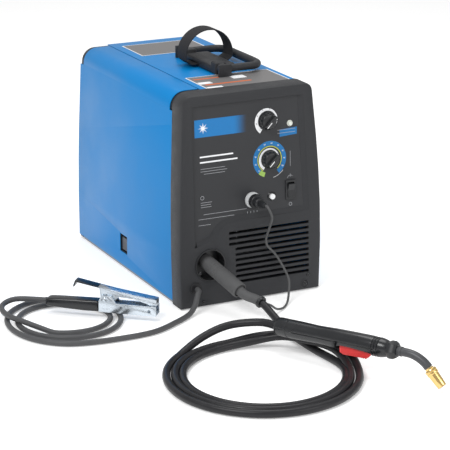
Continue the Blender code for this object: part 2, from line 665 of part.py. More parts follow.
def build_wire_drive():
    x = WIRE_X
    housing = box("feed_housing", (-0.0655, FEED_Y - 0.040, 0.030), (-0.0575, FEED_Y + 0.040, 0.112), "aluminium")
    join(housing, box("feed_foot", (-0.0590, FEED_Y - 0.034, 0.034), (BAFFLE_X - SHEET - 0.0005, FEED_Y + 0.034, 0.078)))
    cut(housing, rod("drive_shaft_bore", 0.0046, -0.10, 0.10, axis="X", at=(x, FEED_Y, ROLL_Z)),
        rod("arm_bore", 0.0036, -0.02, 0.02, axis="X", at=(-0.060, ARM_PIVOT_Y, PRESS_Z), steps=12))
    motor = rod("feed_motor", 0.028, 0.0005, 0.075, "dark_steel", "X", (BAFFLE_X, FEED_Y, 0.050), 20)
    cut(motor, rod("motor_bore", 0.0046, -0.02, 0.03, axis="X", at=(BAFFLE_X, FEED_Y, ROLL_Z)))
    turned("drive_roll", [(0, 0.010), (0.0060, 0.010), (0.0060, 0.0062), (ROLL_RADIUS, 0.0055), (ROLL_RADIUS, 0.0012),
                          (ROLL_RADIUS - 0.0006, 0.0), (ROLL_RADIUS, -0.0012), (ROLL_RADIUS, -0.0055),
                          (0.0042, -0.0062), (0.0042, -0.090), (0, -0.090)],
           "zinc_steel", TO_LEFT, (x, FEED_Y, ROLL_Z), 24)
    build_pressure_arm(x)
    adapter = box("gun_adapter", (x - 0.010, -0.2010, WIRE_Z - 0.014), (x + 0.0125, FEED_Y - 0.044, WIRE_Z + 0.014), "brass")
    join(adapter, rod("outlet_guide", 0.0032, FEED_Y - 0.05, FEED_Y - 0.020, axis="Y", at=(x, 0, WIRE_Z), steps=12))
    build_spool()


def build_pressure_arm(x):
    """The sprung arm above the drive roll. It swings up about its rear pin and carries the tension knob."""
    arm = box("pressure_arm", (x - 0.0145, FEED_Y - 0.030, PRESS_Z + 0.0135), (x + 0.0065, FEED_Y + 0.038, PRESS_Z + 0.0215),
              "black_plastic")
    join(arm,
         box("arm_cheek", (x - 0.0145, FEED_Y - 0.007, PRESS_Z - 0.007), (x - 0.0090, FEED_Y + 0.007, PRESS_Z + 0.0145)),
         box("arm_lug", (x + 0.0005, FEED_Y + 0.024, PRESS_Z - 0.006), (x + 0.0065, FEED_Y + 0.038, PRESS_Z + 0.0145)),
         rod("arm_pin", 0.0032, -0.0155, 0.0, axis=TO_LEFT, at=(x + 0.0040, ARM_PIVOT_Y, PRESS_Z), steps=12),
         rod("arm_axle", 0.0028, -0.0040, 0.0112, axis=TO_LEFT, at=(x, FEED_Y, PRESS_Z), steps=12))
    join(arm, box("axle_lug", (x + 0.0062 - 0.0035, FEED_Y - 0.006, PRESS_Z - 0.006),
                  (x + 0.0065, FEED_Y + 0.006, PRESS_Z + 0.0145)))
    cut(arm, rod("tension_bore", 0.0034, -0.05, 0.05, axis="Z", at=(x - 0.004, FEED_Y - 0.020, PRESS_Z), steps=12))
    shift_origin(arm, (x, ARM_PIVOT_Y, PRESS_Z))
    ring("pressure_roll", PRESS_RADIUS, 0.0032, -0.0022, 0.0070, "zinc_steel", TO_LEFT, (x, FEED_Y, PRESS_Z), 24)
    turned("tension_knob", [(0, 0.040), (0.0085, 0.040), (0.0095, 0.038), (0.0095, 0.024), (0.0080, 0.0222),
                            (0.0030, 0.0222), (0.0030, 0.0150), (0, 0.0150)],
           "black_plastic", "Z", (x - 0.004, FEED_Y - 0.020, PRESS_Z), 16)


def build_spool():
    half, wall, bore, drum = SPOOL_WIDTH / 2, 0.0030, 0.0242, 0.0265
    turned("wire_spool", [(bore, half), (SPOOL_RADIUS, half), (SPOOL_RADIUS, half - wall), (drum, half - wall),
                          (drum, wall - half), (SPOOL_RADIUS, wall - half), (SPOOL_RADIUS, -half), (bore, -half)],
           "black_plastic", TO_LEFT, SPOOL_AT, 28, closed=True)
    ring("wire_winding", SPOOL_RADIUS - 0.014, drum + GAP, wall - half + GAP, half - wall - GAP, "wire_steel",
         TO_LEFT, SPOOL_AT, 28)
    to_baffle = BAFFLE_X - SHEET - GAP - SPOOL_AT[0]
    turned("spool_spindle", [(0, 0.0320), (0.0080, 0.0320), (0.0080, half), (0.0235, half), (0.0235, -half - 0.0005),
                             (0.0300, -half - 0.0005), (0.0300, -half - 0.0060), (0.0140, -half - 0.0060),
                             (0.0140, -to_baffle), (0, -to_baffle)],
           "black_plastic", TO_LEFT, SPOOL_AT, 20)


# ---------------------------------------------------------------- power section
def build_power_section():
    core = box("transformer_core", (0.030, 0.000, 0.0023), (0.118, 0.120, 0.112), "core_steel")
    for name, low, high in (("near", 0.018, 0.046), ("far", 0.074, 0.102)):
        cut(core, box(f"core_window_{name}", (0.0, low, 0.026), (0.15, high, 0.088)))
    coil = box("transformer_winding", (0.016, 0.0185, 0.0265), (0.1275, 0.1015, 0.0875), "winding", 0.006, 2)
    cut(coil, box("winding_leg", (0.0297, 0.0457, 0.0), (0.1183, 0.0743, 0.15)))
    heatsink = box("rectifier_heatsink", (0.020, 0.020, 0.1125), (0.110, 0.026, 0.190), "aluminium")
    for k in range(8):
        x = 0.022 + k * 0.0118
        join(heatsink, box(f"heatsink_fin_{k}", (x, 0.024, 0.1135), (x + 0.0025, 0.060, 0.188)))
    box("circuit_board", (BAFFLE_X + 0.0004, -0.1825, 0.170), (0.112, -0.1807, 0.325), "board_green")
    turned("capacitor", [(0, 0.090), (0.021, 0.090), (0.022, 0.088), (0.022, 0), (0, 0)], "black_plastic", "Z",
           (0.075, -0.048, 0.0025), 20)
    motor = rod("fan_motor", 0.020, -0.040, -0.0085, "dark_steel", "Y", FAN_AT)
    x, y, z = FAN_AT
    reach = FAN_RADIUS + 0.0022
    join(motor, box("fan_bracket", (x - reach, y - 0.0125, z - 0.005), (x + reach, y - 0.0095, z + 0.005)))
    hub = rod("fan_blade", 0.013, -0.0078, 0.0062, "black_plastic", "Y", FAN_AT)
    for k in range(5):
        blade = box(f"blade_{k}", (0.010, -0.013, -0.0008), (FAN_RADIUS, 0.013, 0.0008))
        shape = Matrix.Rotation(math.radians(72 * k), 4, "Z") @ Matrix.Rotation(math.radians(22), 4, "X")
        blade.data.transform(shape @ Matrix.Translation(blade.location))
        blade.location = (0, 0, 0)
        blade.parent = hub
        join(hub, blade)
    ring("fan_shroud", FAN_RADIUS + 0.006, FAN_RADIUS + 0.0035, -0.014, 0.0285, "dark_steel", "Y", FAN_AT, 24)


# ---------------------------------------------------------------- gun line: boot, cable, gun
BOOT_START = Vector((WIRE_X, -0.2245, 0.0735))
BOOT_END = Vector((-0.0580, -0.3020, 0.0465))
GUN_REAR = Vector((-0.0740, -0.4694, 0.0420))
GUN_FRONT = Vector((0.0231, -0.6547, 0.0500))
GUN_AXIS = (GUN_FRONT - GUN_REAR).normalized()
GUN_LONG = (GUN_FRONT - GUN_REAR).length
NECK_STRAIGHT = 0.0323
NECK_BEND = 0.0528
NECK_ANGLE = math.radians(47.4)
CLIP_AT = Vector((-0.0375, -0.3390, 0.0350))


def loop_coil(center, radii, start, end, each, z, lift=lambda angle: 0.0, bulge=lambda a: 0.0):
    """Turns of a loose coil, clockwise from start to end in degrees; radii gives x and y radii at an angle."""
    count = round((start - end) / each)
    points = []
    for i in range(count + 1):
        angle = start + (end - start) * i / count
        a = math.radians(angle)
        rx, ry = radii(angle)
        points.append((center[0] + (rx + bulge(a)) * math.cos(a), center[1] + (ry + bulge(a)) * math.sin(a),
                       z + lift(angle)))
    return points


def gun_radii(angle):
    radius = float(np.interp(-angle, (0, 270, 630, 990), (0.1265, 0.1290, 0.1435, 0.1570)))
    return radius, radius


def gun_lift(angle):
    """The second and third turns ride over the lead-in that crosses beneath them."""
    if angle > -200:
        return 0.0
    away = abs((angle + 720 - 28 + 180) % 360 - 180)
    return 0.0137 * max(0.0, min(1.0, (54 - away) / 26))


def gun_route():
    """From the boot to the floor, three loose turns, and up into the gun's handle."""
    out = (BOOT_END - BOOT_START).normalized()
    route = [BOOT_END + out * 0.0004, BOOT_END + out * 0.014, CLIP_AT, (-0.0305, -0.3768, 0.0190),
             (-0.0290, -0.4160, 0.0086), (-0.0285, -0.4600, 0.0067), (-0.0270, -0.5100, 0.0067)]
    route += loop_coil((-0.147, -0.565), gun_radii, -8, -955, 23, 0.0066, gun_lift,
                       lambda a: 0.007 * max(0.0, math.cos(a + math.radians(125))) ** 2)
    route += [(-0.1830, -0.4130, 0.0215), (-0.1340, -0.4100, 0.0330), GUN_REAR - GUN_AXIS * 0.036, GUN_REAR - GUN_AXIS * 0.0012]
    return route


def gun_frame():
    """Coordinates of the gun: z along its handle from the rear, y down towards the trigger."""
    down = Vector((0, 0, -1))
    down = (down - GUN_AXIS * down.dot(GUN_AXIS)).normalized()
    across = down.cross(GUN_AXIS)
    turn = Matrix((across, down, GUN_AXIS)).transposed()
    holder = empty("gun_frame", GUN_REAR)
    holder.rotation_euler = turn.to_euler()
    return holder


def build_gun_line():
    back = BOOT_START - BOOT_END
    turned("gun_boot", [(0.0072, back.length + 0.014), (0.0125, back.length + 0.014), (0.0135, back.length),
                        (0.0135, 0.002), (0.0125, 0.0), (0.0072, 0.0)],
           "grey_rubber", back.to_track_quat("Z", "Y").to_euler(), BOOT_END, 20, closed=True)
    on_face(turned("gun_socket", [(0.0110, 0.0260), (0.0286, 0.0260), (0.0286, -0.0010), (0.0268, -0.0010),
                                  (0.0268, 0.0235), (0.0110, 0.0235)],
                   "black_plastic", "Y", (WIRE_X, 0.0, WIRE_Z), 32, closed=True))
    tube("gun_cable", smooth_route(gun_route(), 0.0385, GUN_CABLE_RADIUS + 0.0001), GUN_CABLE_RADIUS, "black_rubber", 2)
    along = (Vector(gun_route()[3]) - Vector(gun_route()[1])).normalized()
    ring("cable_clip", 0.0100, 0.0085, -0.003, 0.003, "black_plastic", along.to_track_quat("Z", "Y").to_euler(),
           CLIP_AT, 16)
    build_gun(gun_frame())


def build_gun(frame):
    handle = turned("gun_handle", [(0, GUN_LONG), (0.0144, GUN_LONG), (0.0154, GUN_LONG - 0.006), (0.0162, 0.180),
                                   (0.0158, 0.110), (0.0146, 0.080), (0.0152, 0.040), (0.0152, 0.003), (0.0135, 0.0),
                                   (0, 0)], "black_plastic", "Z", (0, 0, 0), 20)
    cut(handle, box("trigger_gap", (-0.02, -0.0015, 0.118), (0.02, 0.03, 0.184)))
    trigger = plate("gun_trigger", [(0.0065, 0.1225), (0.0065, 0.1795), (0.0150, 0.1795), (0.0215, 0.1700),
                                    (0.0225, 0.1300), (0.0190, 0.1225)], 0.0165, "red_plastic", "X", (0, 0, 0), 0.001)
    neck_end = GUN_LONG + NECK_STRAIGHT
    bend = [(0, NECK_BEND * (1 - math.cos(a)), neck_end + NECK_BEND * math.sin(a))
            for a in np.linspace(0, NECK_ANGLE, 9)]
    neck = tube("gun_neck", [(0, 0, GUN_LONG + GAP)] + bend, 0.0070, "dark_steel", 3)
    collar = turned("gun_collar", [(0.0075, GUN_LONG + 0.0165), (0.0125, GUN_LONG + 0.0165), (0.0150, GUN_LONG + 0.012),
                                   (0.0150, GUN_LONG + GAP), (0.0075, GUN_LONG + GAP)],
                    "black_plastic", "Z", (0, 0, 0), 16, closed=True)
    tip = empty("nozzle_frame", bend[-1], (-NECK_ANGLE, 0, 0))
    nozzle = turned("nozzle", [(0.0056, 0.0357), (0.0072, 0.0357), (0.0080, 0.026), (0.0086, 0.012), (0.0096, 0.010),
                               (0.0096, 0.0036), (0.0058, 0.0036)],
                    "brass", "Z", (0, 0, 0), 20, closed=True)
    diffuser = turned("gas_diffuser", [(0.0024, 0.018), (0.0052, 0.018), (0.0052, 0.0034), (0.0070, 0.0034),
                                       (0.0070, 0.0008), (0.0024, 0.0008)],
                      "brass", "Z", (0, 0, 0), 16, closed=True)
    contact = turned("contact_tip", [(0, 0.0345), (0.0022, 0.0345), (0.0033, 0.031), (0.0033, 0.0184), (0.0020, 0.0184),
                                     (0.0020, 0.006), (0, 0.006)],
                     "copper", "Z", (0, 0, 0), 12)
    tip.parent = frame
    hang_on(tip, nozzle, diffuser, contact)
    trigger.data.transform(trigger.matrix_world)
    trigger.matrix_world = Matrix.Identity(4)
    hang_on(frame, handle, trigger, neck, collar)
    pivot = Vector((0, 0.010, 0.176))
    trigger.data.transform(Matrix.Translation(-pivot))
    trigger.location = pivot


# ---------------------------------------------------------------- trigger lead
def build_trigger_lead():
    """A thin lead that droops from the plug in front of the louvers and ends at the clip on the gun cable."""
    x, z = SOCKET_AT
    end = FACE_MATRIX @ Vector((x, SEAT - PLUG_LONG - 0.0003, z))
    out = FACE_MATRIX @ Vector((x, SEAT - PLUG_LONG - 0.008, z))
    route = [end, out, (0.0120, -0.2835, 0.1620), (0.0150, -0.2680, 0.1380), (0.0185, -0.2500, 0.1147),
             (0.0243, -0.2440, 0.0981), (0.0400, -0.2440, 0.0800), (0.0545, -0.2470, 0.0550), (0.0615, -0.2540, 0.0340),
             (0.0560, -0.2650, 0.0160), (0.0440, -0.2830, 0.0050), (0.0270, -0.3010, 0.0024), (0.0060, -0.3160, 0.0080),
             (-0.0130, -0.3290, 0.0220)]
    toward = (CLIP_AT - Vector(route[-1])).normalized()
    route.append(CLIP_AT - toward * 0.0135)
    tube("trigger_lead", smooth_route(route, 0.0085, LEAD_RADIUS + 0.0001), LEAD_RADIUS, "grey_rubber", 2)


# ---------------------------------------------------------------- work cable and clamp
CLAMP_TIP = Vector((-0.1915, -0.2580, 0.0108))
CLAMP_TURN = math.radians(-39.6)
CLAMP_PIVOT = (-0.090, 0.0235)
CLAMP_LONG = 0.1960


def work_radii(angle):
    across = float(np.interp(-angle, (90, 450, 810, 1000), (1.0, 0.84, 0.68, 0.62)))
    along = float(np.interp(-angle, (90, 450, 810, 1000), (1.0, 0.77, 0.56, 0.50)))
    return 0.1040 * across, 0.1200 * along


def build_work_line():
    x, z = WORK_EXIT
    exit_point = FACE_MATRIX @ Vector((x, -0.0054, z))
    straight = FACE_MATRIX @ Vector((x, -0.0120, z))
    clamp = empty("clamp_frame", CLAMP_TIP, (0, 0, CLAMP_TURN))
    grip_end = Vector((-CLAMP_LONG, 0, 0.0100))
    turn = Matrix.Rotation(CLAMP_TURN, 4, "Z")
    into = CLAMP_TIP + turn @ (grip_end - Vector((0.0012, 0, 0)))
    before = CLAMP_TIP + turn @ (grip_end - Vector((0.0180, 0, 0)))
    route = [exit_point, straight, (-0.1125, -0.2480, 0.0285), (-0.1205, -0.2560, 0.0160), (-0.1340, -0.2660, 0.0068),
             (-0.1530, -0.2790, 0.0049), (-0.1757, -0.2925, 0.0049), (-0.2040, -0.3080, 0.0049), (-0.2327, -0.3169, 0.0049),
             (-0.2750, -0.3190, 0.0049)]
    route += loop_coil((-0.3315, -0.1940), work_radii, -92, -846, 26, 0.0049)
    route += [(-0.3915, -0.2270, 0.0100), (-0.4120, -0.1960, 0.0152), (-0.4240, -0.1640, 0.0156), (-0.4240, -0.1310, 0.0160),
              (-0.4115, -0.1065, 0.0170), (-0.3870, -0.0990, 0.0192), tuple(before), tuple(into)]
    tube("work_cable", smooth_route(route, 0.0265, WORK_CABLE_RADIUS + 0.0001), WORK_CABLE_RADIUS, "grey_rubber", 2)
    build_clamp(clamp)


def build_clamp(frame):
    px, pz = CLAMP_PIVOT
    lower = plate("clamp_lower_jaw", [(-0.101, 0.001), (0.0, 0.0), (0.0, 0.0175), (-0.070, 0.0180), (-0.078, 0.0310),
                                      (-0.096, 0.0310), (-0.101, 0.0200)], 0.0230, "zinc_steel", "Y")
    upper = plate("clamp_upper_jaw", [(0.0, 0.0182), (0.0, 0.0290), (-0.075, 0.0400), (-0.143, 0.0530), (-0.147, 0.0420),
                                      (-0.1445, 0.0415), (-0.141, 0.0500), (-0.100, 0.0425), (-0.098, 0.0185),
                                      (-0.082, 0.0185), (-0.072, 0.0220), (-0.066, 0.0290), (-0.040, 0.0275),
                                      (-0.016, 0.0205), (-0.012, 0.0182)],
                  0.0175, "zinc_steel", "Y")
    flat = (px, 0, pz)
    cut(lower, box("lower_channel", (-0.099, -0.0093, 0.0022), (0.02, 0.0093, 0.05)),
        box("lower_heel", (-0.110, -0.0093, 0.0160), (-0.09, 0.0093, 0.05)),
        rod("lower_bore", 0.0034, -0.02, 0.02, axis="Y", at=flat, steps=12))
    cut(upper, rod("upper_bore", 0.0038, -0.02, 0.02, axis="Y", at=flat, steps=12),
        box("spring_room", (px - 0.02, -0.0055, -0.01), (px + 0.0100, 0.0055, 0.0350)))
    pin = rod("clamp_pivot_pin", 0.0030, -0.0118, 0.0118, "zinc_steel", "Y", flat, 12)
    spring = ring("clamp_spring", 0.0072, 0.0042, -0.0048, 0.0048, "copper", "Y", flat, 16)
    grip = plate("clamp_grip", [(-CLAMP_LONG, 0.0035), (-0.1300, 0.0), (-0.1013, 0.0), (-0.1013, 0.0195),
                                (-CLAMP_LONG, 0.0175)], 0.0220, "black_rubber", "Y", (0, 0, 0), 0.003)
    shift_origin(upper, flat)
    hang_on(frame, lower, upper, pin, spring, grip)


FACE_MATRIX = Matrix.Translation(FACE.location) @ FACE.rotation_euler.to_matrix().to_4x4()

build_case()
build_controls()
build_handle()
build_wire_drive()
build_power_section()
build_gun_line()
build_trigger_lead()
build_work_line()
for part in PARTS.objects:
    if part.type == "MESH":
        part.data.set_sharp_from_angle(angle=math.radians(35))
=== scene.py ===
# %% [markdown]
# # A MIG welding machine
# This lesson dresses a finished CAD model of a compact wire welder. The CAD gives the sizes, the
# moving bodies and where everything is. The cells below add the camera, the free cables, the
# finishes and the small parts that make it look real.

# %% Load the machine
import math

import bpy
import numpy as np
from mathutils import Matrix, Vector


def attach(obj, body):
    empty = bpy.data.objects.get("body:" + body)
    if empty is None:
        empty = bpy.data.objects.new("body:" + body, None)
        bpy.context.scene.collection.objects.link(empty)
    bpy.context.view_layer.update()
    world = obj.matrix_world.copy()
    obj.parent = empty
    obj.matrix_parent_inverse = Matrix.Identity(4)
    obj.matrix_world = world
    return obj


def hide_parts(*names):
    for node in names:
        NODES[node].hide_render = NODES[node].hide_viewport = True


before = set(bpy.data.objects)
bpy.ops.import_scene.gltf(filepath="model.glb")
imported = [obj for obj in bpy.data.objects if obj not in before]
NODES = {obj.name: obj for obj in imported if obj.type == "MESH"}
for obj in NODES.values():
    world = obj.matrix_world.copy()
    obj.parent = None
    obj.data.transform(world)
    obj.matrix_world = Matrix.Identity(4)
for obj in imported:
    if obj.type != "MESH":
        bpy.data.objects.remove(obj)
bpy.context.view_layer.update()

# %% [markdown]
# ## The camera
# A studio camera stands about three and a half metres away with a long lens, so the edges of the
# case hardly converge. It is placed by an angle round the machine and an angle above the floor.

# %% Place the camera
LOOK_AT = Vector((0.0718, 0.0170, 0.0549))
ROUND, ABOVE = math.radians(-26.40), math.radians(17.58)
CAMERA_AWAY, LENS = 3.5613, 152.64
away = Vector((math.sin(ROUND) * math.cos(ABOVE), -math.cos(ROUND) * math.cos(ABOVE), math.sin(ABOVE)))
bpy.ops.object.camera_add(location=LOOK_AT + away * CAMERA_AWAY)
camera = bpy.context.object
camera.rotation_euler = away.to_track_quat("Z", "Y").to_euler()
camera.data.lens = LENS
bpy.context.scene.camera = camera
print("camera at", tuple(round(c, 3) for c in camera.location))

# %% [markdown]
# ## Free cables
# Three cables lie loose: the thick one to the gun, the one to the work clamp, and a thin trigger
# lead. Each is one smooth line through a few chosen points, with its loops made by a small
# function, because a real cable has no corners. The bevel of a curve object gives it its girth.

# %% A smooth line through points
def smooth_line(points, spacing, lowest):
    """Points one spacing apart along a smooth curve, none below the lowest height."""
    line = [Vector(p) for p in points]
    line = [line[0] * 2 - line[1]] + line + [line[-1] * 2 - line[-2]]
    fine = []
    for a, b, c, d in zip(line, line[1:], line[2:], line[3:]):
        for t in np.linspace(0, 1, 24, endpoint=False):
            fine.append(0.5 * ((2 * b) + (c - a) * t + (2 * a - 5 * b + 4 * c - d) * t**2
                               + (3 * b - a - 3 * c + d) * t**3))
    fine.append(line[-2])
    lengths = [0.0]
    for a, b in zip(fine, fine[1:]):
        lengths.append(lengths[-1] + (b - a).length)
    wanted = np.linspace(0, lengths[-1], max(2, round(lengths[-1] / spacing)) + 1)
    across = [np.interp(wanted, lengths, [p[i] for p in fine]) for i in range(3)]
    return [(x, y, max(z, lowest)) for x, y, z in zip(*across)]


def loops(center, radii, start, end, each, z, lift=None, bulge=None):
    """Turns of a loose coil, clockwise from start to end in degrees."""
    count = round((start - end) / each)
    points = []
    for i in range(count + 1):
        angle = start + (end - start) * i / count
        a = math.radians(angle)
        rx, ry = radii(angle)
        wider = bulge(a) if bulge else 0.0
        points.append((center[0] + (rx + wider) * math.cos(a), center[1] + (ry + wider) * math.sin(a),
                       z + (lift(angle) if lift else 0.0)))
    return points


print("smooth_line and loops are ready")

# %% A cable object
def cable(name, points, radius):
    """A round cable along a line of points, as a curve with girth."""
    curve = bpy.data.curves.new(name, "CURVE")
    curve.dimensions = "3D"
    curve.bevel_depth = radius
    curve.bevel_resolution = 5
    curve.use_fill_caps = True
    spline = curve.splines.new("POLY")
    spline.points.add(len(points) - 1)
    for point, place in zip(spline.points, points):
        point.co = (*place, 1)
    piece = bpy.data.objects.new(name, curve)
    bpy.context.scene.collection.objects.link(piece)
    return piece


def line_length(points):
    return float(np.linalg.norm(np.diff(np.array(points), axis=0), axis=1).sum())


print("cable makes a round cable along a line")

# %% The gun cable's route
WIRE_X = -0.0785
GUN_CABLE_RADIUS, WORK_CABLE_RADIUS, LEAD_RADIUS = 0.0065, 0.00475, 0.0020
BOOT_START = Vector((WIRE_X, -0.2245, 0.0735))
BOOT_END = Vector((-0.0580, -0.3020, 0.0465))
GUN_REAR = Vector((-0.0740, -0.4694, 0.0420))
GUN_FRONT = Vector((0.0231, -0.6547, 0.0500))
GUN_AXIS = (GUN_FRONT - GUN_REAR).normalized()
GUN_LONG = (GUN_FRONT - GUN_REAR).length
CLIP_AT = Vector((-0.0375, -0.3390, 0.0350))
GUN_COIL_MIDDLE = (-0.1470, -0.5650)


def gun_radii(angle):
    """The loops widen a little with each turn."""
    radius = float(np.interp(-angle, (0, 270, 630, 990), (0.1265, 0.1290, 0.1435, 0.1570)))
    return radius, radius


def gun_lift(angle):
    """The later turns rise where they pass over the first one."""
    if angle > -200:
        return 0.0
    from_crossing = abs((angle + 720 - 28 + 180) % 360 - 180)
    return 0.0137 * max(0.0, min(1.0, (54 - from_crossing) / 26))


out_of_boot = (BOOT_END - BOOT_START).normalized()
gun_points = [BOOT_END + out_of_boot * 0.0004, BOOT_END + out_of_boot * 0.014, CLIP_AT,
              (-0.0305, -0.3768, 0.0190), (-0.0290, -0.4160, 0.0086), (-0.0285, -0.4600, 0.0067),
              (-0.0270, -0.5100, 0.0067)]
gun_points += loops(GUN_COIL_MIDDLE, gun_radii, -8, -955, 23, 0.0066, gun_lift,
                    lambda a: 0.007 * max(0.0, math.cos(a + math.radians(125))) ** 2)
gun_points += [(-0.1830, -0.4130, 0.0215), (-0.1340, -0.4100, 0.0330), GUN_REAR - GUN_AXIS * 0.036,
               GUN_REAR - GUN_AXIS * 0.0012]
gun_line = smooth_line(gun_points, 0.010, GUN_CABLE_RADIUS + 0.0001)
gun_cable = cable("gun_cable_jacket", gun_line, GUN_CABLE_RADIUS)
print("gun cable:", len(gun_line), "points,", round(line_length(gun_line), 3), "m")

# %% The front panel's slope
FRONT_Y, LEAN = -0.233, math.atan(0.0147 / 0.370)
SEAT = 0.0035
FACE = Matrix.Translation((0, FRONT_Y, 0)) @ Matrix.Rotation(-LEAN, 4, "X")
UPRIGHT = Matrix.Rotation(math.radians(90), 4, "X")


def on_face(x, up, out=0.0):
    """A place on the leaning face: local X to the right, Y up the slope, Z out of the panel."""
    return FACE @ Matrix.Translation((x, 0, up)) @ UPRIGHT @ Matrix.Translation((0, 0, out))


SOCKET_AT = (0.0052, 0.1784)
PLUG_LONG = 0.050
print("face leans", round(math.degrees(LEAN), 2), "degrees")

# %% The trigger lead
plug_end = on_face(*SOCKET_AT, PLUG_LONG - SEAT + 0.0003).translation
lead_points = [plug_end, on_face(*SOCKET_AT, PLUG_LONG - SEAT + 0.0080).translation,
               (0.0120, -0.2835, 0.1620), (0.0150, -0.2680, 0.1380), (0.0185, -0.2500, 0.1147),
               (0.0243, -0.2440, 0.0981), (0.0400, -0.2440, 0.0800), (0.0545, -0.2470, 0.0550),
               (0.0615, -0.2540, 0.0340), (0.0560, -0.2650, 0.0160), (0.0440, -0.2830, 0.0050),
               (0.0270, -0.3010, 0.0024), (0.0060, -0.3160, 0.0080), (-0.0130, -0.3290, 0.0220)]
lead_points.append(CLIP_AT - (CLIP_AT - Vector(lead_points[-1])).normalized() * 0.0135)
lead_line = smooth_line(lead_points, 0.004, LEAD_RADIUS + 0.0001)
trigger_lead = cable("trigger_lead_jacket", lead_line, LEAD_RADIUS)
print("trigger lead:", len(lead_line), "points,", round(line_length(lead_line), 3), "m")

# %% The work cable's route
WORK_EXIT = (-0.1073, 0.0360)
WORK_COIL_MIDDLE = (-0.3315, -0.1940)
CLAMP_TIP = Vector((-0.1915, -0.2580, 0.0108))
CLAMP_TURN = math.radians(-39.6)
CLAMP_LONG = 0.1960
CLAMP = Matrix.Translation(CLAMP_TIP) @ Matrix.Rotation(CLAMP_TURN, 4, "Z")


def work_radii(angle):
    """The loops tighten with each turn, so that they lie inside each other."""
    across = float(np.interp(-angle, (90, 450, 810, 1000), (1.0, 0.84, 0.68, 0.62)))
    along = float(np.interp(-angle, (90, 450, 810, 1000), (1.0, 0.77, 0.56, 0.50)))
    return 0.1040 * across, 0.1200 * along


work_exit = on_face(*WORK_EXIT, 0.0054).translation
work_points = [work_exit, on_face(*WORK_EXIT, 0.0120).translation, (-0.1125, -0.2480, 0.0285),
               (-0.1205, -0.2560, 0.0160), (-0.1340, -0.2660, 0.0068), (-0.1530, -0.2790, 0.0049),
               (-0.1757, -0.2925, 0.0049), (-0.2040, -0.3080, 0.0049), (-0.2327, -0.3169, 0.0049),
               (-0.2750, -0.3190, 0.0049)]
work_points += loops(WORK_COIL_MIDDLE, work_radii, -92, -846, 26, 0.0049)
work_points += [(-0.3915, -0.2270, 0.0100), (-0.4120, -0.1960, 0.0152), (-0.4240, -0.1640, 0.0156),
                (-0.4240, -0.1310, 0.0160), (-0.4115, -0.1065, 0.0170), (-0.3870, -0.0990, 0.0192),
                CLAMP @ Vector((-CLAMP_LONG - 0.0180, 0, 0.0100)),
                CLAMP @ Vector((-CLAMP_LONG - 0.0012, 0, 0.0100))]
work_line = smooth_line(work_points, 0.008, WORK_CABLE_RADIUS + 0.0001)
work_cable = cable("work_cable_jacket", work_line, WORK_CABLE_RADIUS)
print("work cable:", len(work_line), "points,", round(line_length(work_line), 3), "m")

# %% [markdown]
# ## Finishes
# Each finish is a small node tree on a Principled shader. Noise on object coordinates gives the
# grain: one fine noise feeds a bump, one broad noise shifts the colour and the roughness a little.
# Moulded plastic, powder coat, rubber and metal differ in scale, depth and shine.

# %% Noise and bump
GRAIN_DEEP = 0.0006


def noise(tree, source, scale, detail):
    node = tree.nodes.new("ShaderNodeTexNoise")
    node.inputs["Scale"].default_value = scale
    node.inputs["Detail"].default_value = detail
    tree.links.new(source.outputs["Vector"], node.inputs["Vector"])
    return node


def add_bump(tree, height, strength):
    bump = tree.nodes.new("ShaderNodeBump")
    bump.inputs["Strength"].default_value = strength
    bump.inputs["Distance"].default_value = GRAIN_DEEP
    tree.links.new(height.outputs["Fac"], bump.inputs["Height"])
    tree.links.new(bump.outputs["Normal"], tree.nodes["Principled BSDF"].inputs["Normal"])


print("grain is at most", GRAIN_DEEP * 1000, "mm deep")

# %% A finish with grain and mottle
def finish(name, color, roughness, metallic=0.0, grain=(900, 0.12), mottle=(35, 0.06), stretch=(1, 1, 1),
           shift=0.06, coat=0.0, gloss=0.28):
    """Grain is (scale, bump strength), mottle (scale, share of colour), shift how far roughness varies."""
    mat = bpy.data.materials.new(name)
    mat.use_nodes = True
    tree = mat.node_tree
    nodes, links = tree.nodes, tree.links
    shader = nodes["Principled BSDF"]
    shader.inputs["Metallic"].default_value = metallic
    shader.inputs["Coat Weight"].default_value = coat
    shader.inputs["Specular IOR Level"].default_value = gloss
    place = nodes.new("ShaderNodeTexCoord")
    mapping = nodes.new("ShaderNodeMapping")
    mapping.inputs["Scale"].default_value = stretch
    links.new(place.outputs["Object"], mapping.inputs["Vector"])
    add_bump(tree, noise(tree, mapping, grain[0], 3.0), grain[1])
    broad = noise(tree, mapping, mottle[0], 5.0)
    tint = nodes.new("ShaderNodeMix")
    tint.data_type = "RGBA"
    tint.name = "tint"
    tint.inputs["A"].default_value = (*[c * (1 - mottle[1]) for c in color], 1)
    tint.inputs["B"].default_value = (*[min(1.0, c * (1 + mottle[1])) for c in color], 1)
    links.new(broad.outputs["Fac"], tint.inputs["Factor"])
    links.new(tint.outputs["Result"], shader.inputs["Base Color"])
    shine = nodes.new("ShaderNodeMapRange")
    shine.inputs["From Min"].default_value, shine.inputs["From Max"].default_value = 0.3, 0.7
    shine.inputs["To Min"].default_value = max(0.02, roughness - shift)
    shine.inputs["To Max"].default_value = min(1.0, roughness + shift)
    links.new(broad.outputs["Fac"], shine.inputs["Value"])
    links.new(shine.outputs["Result"], shader.inputs["Roughness"])
    return mat


print("finish builds a grained material")

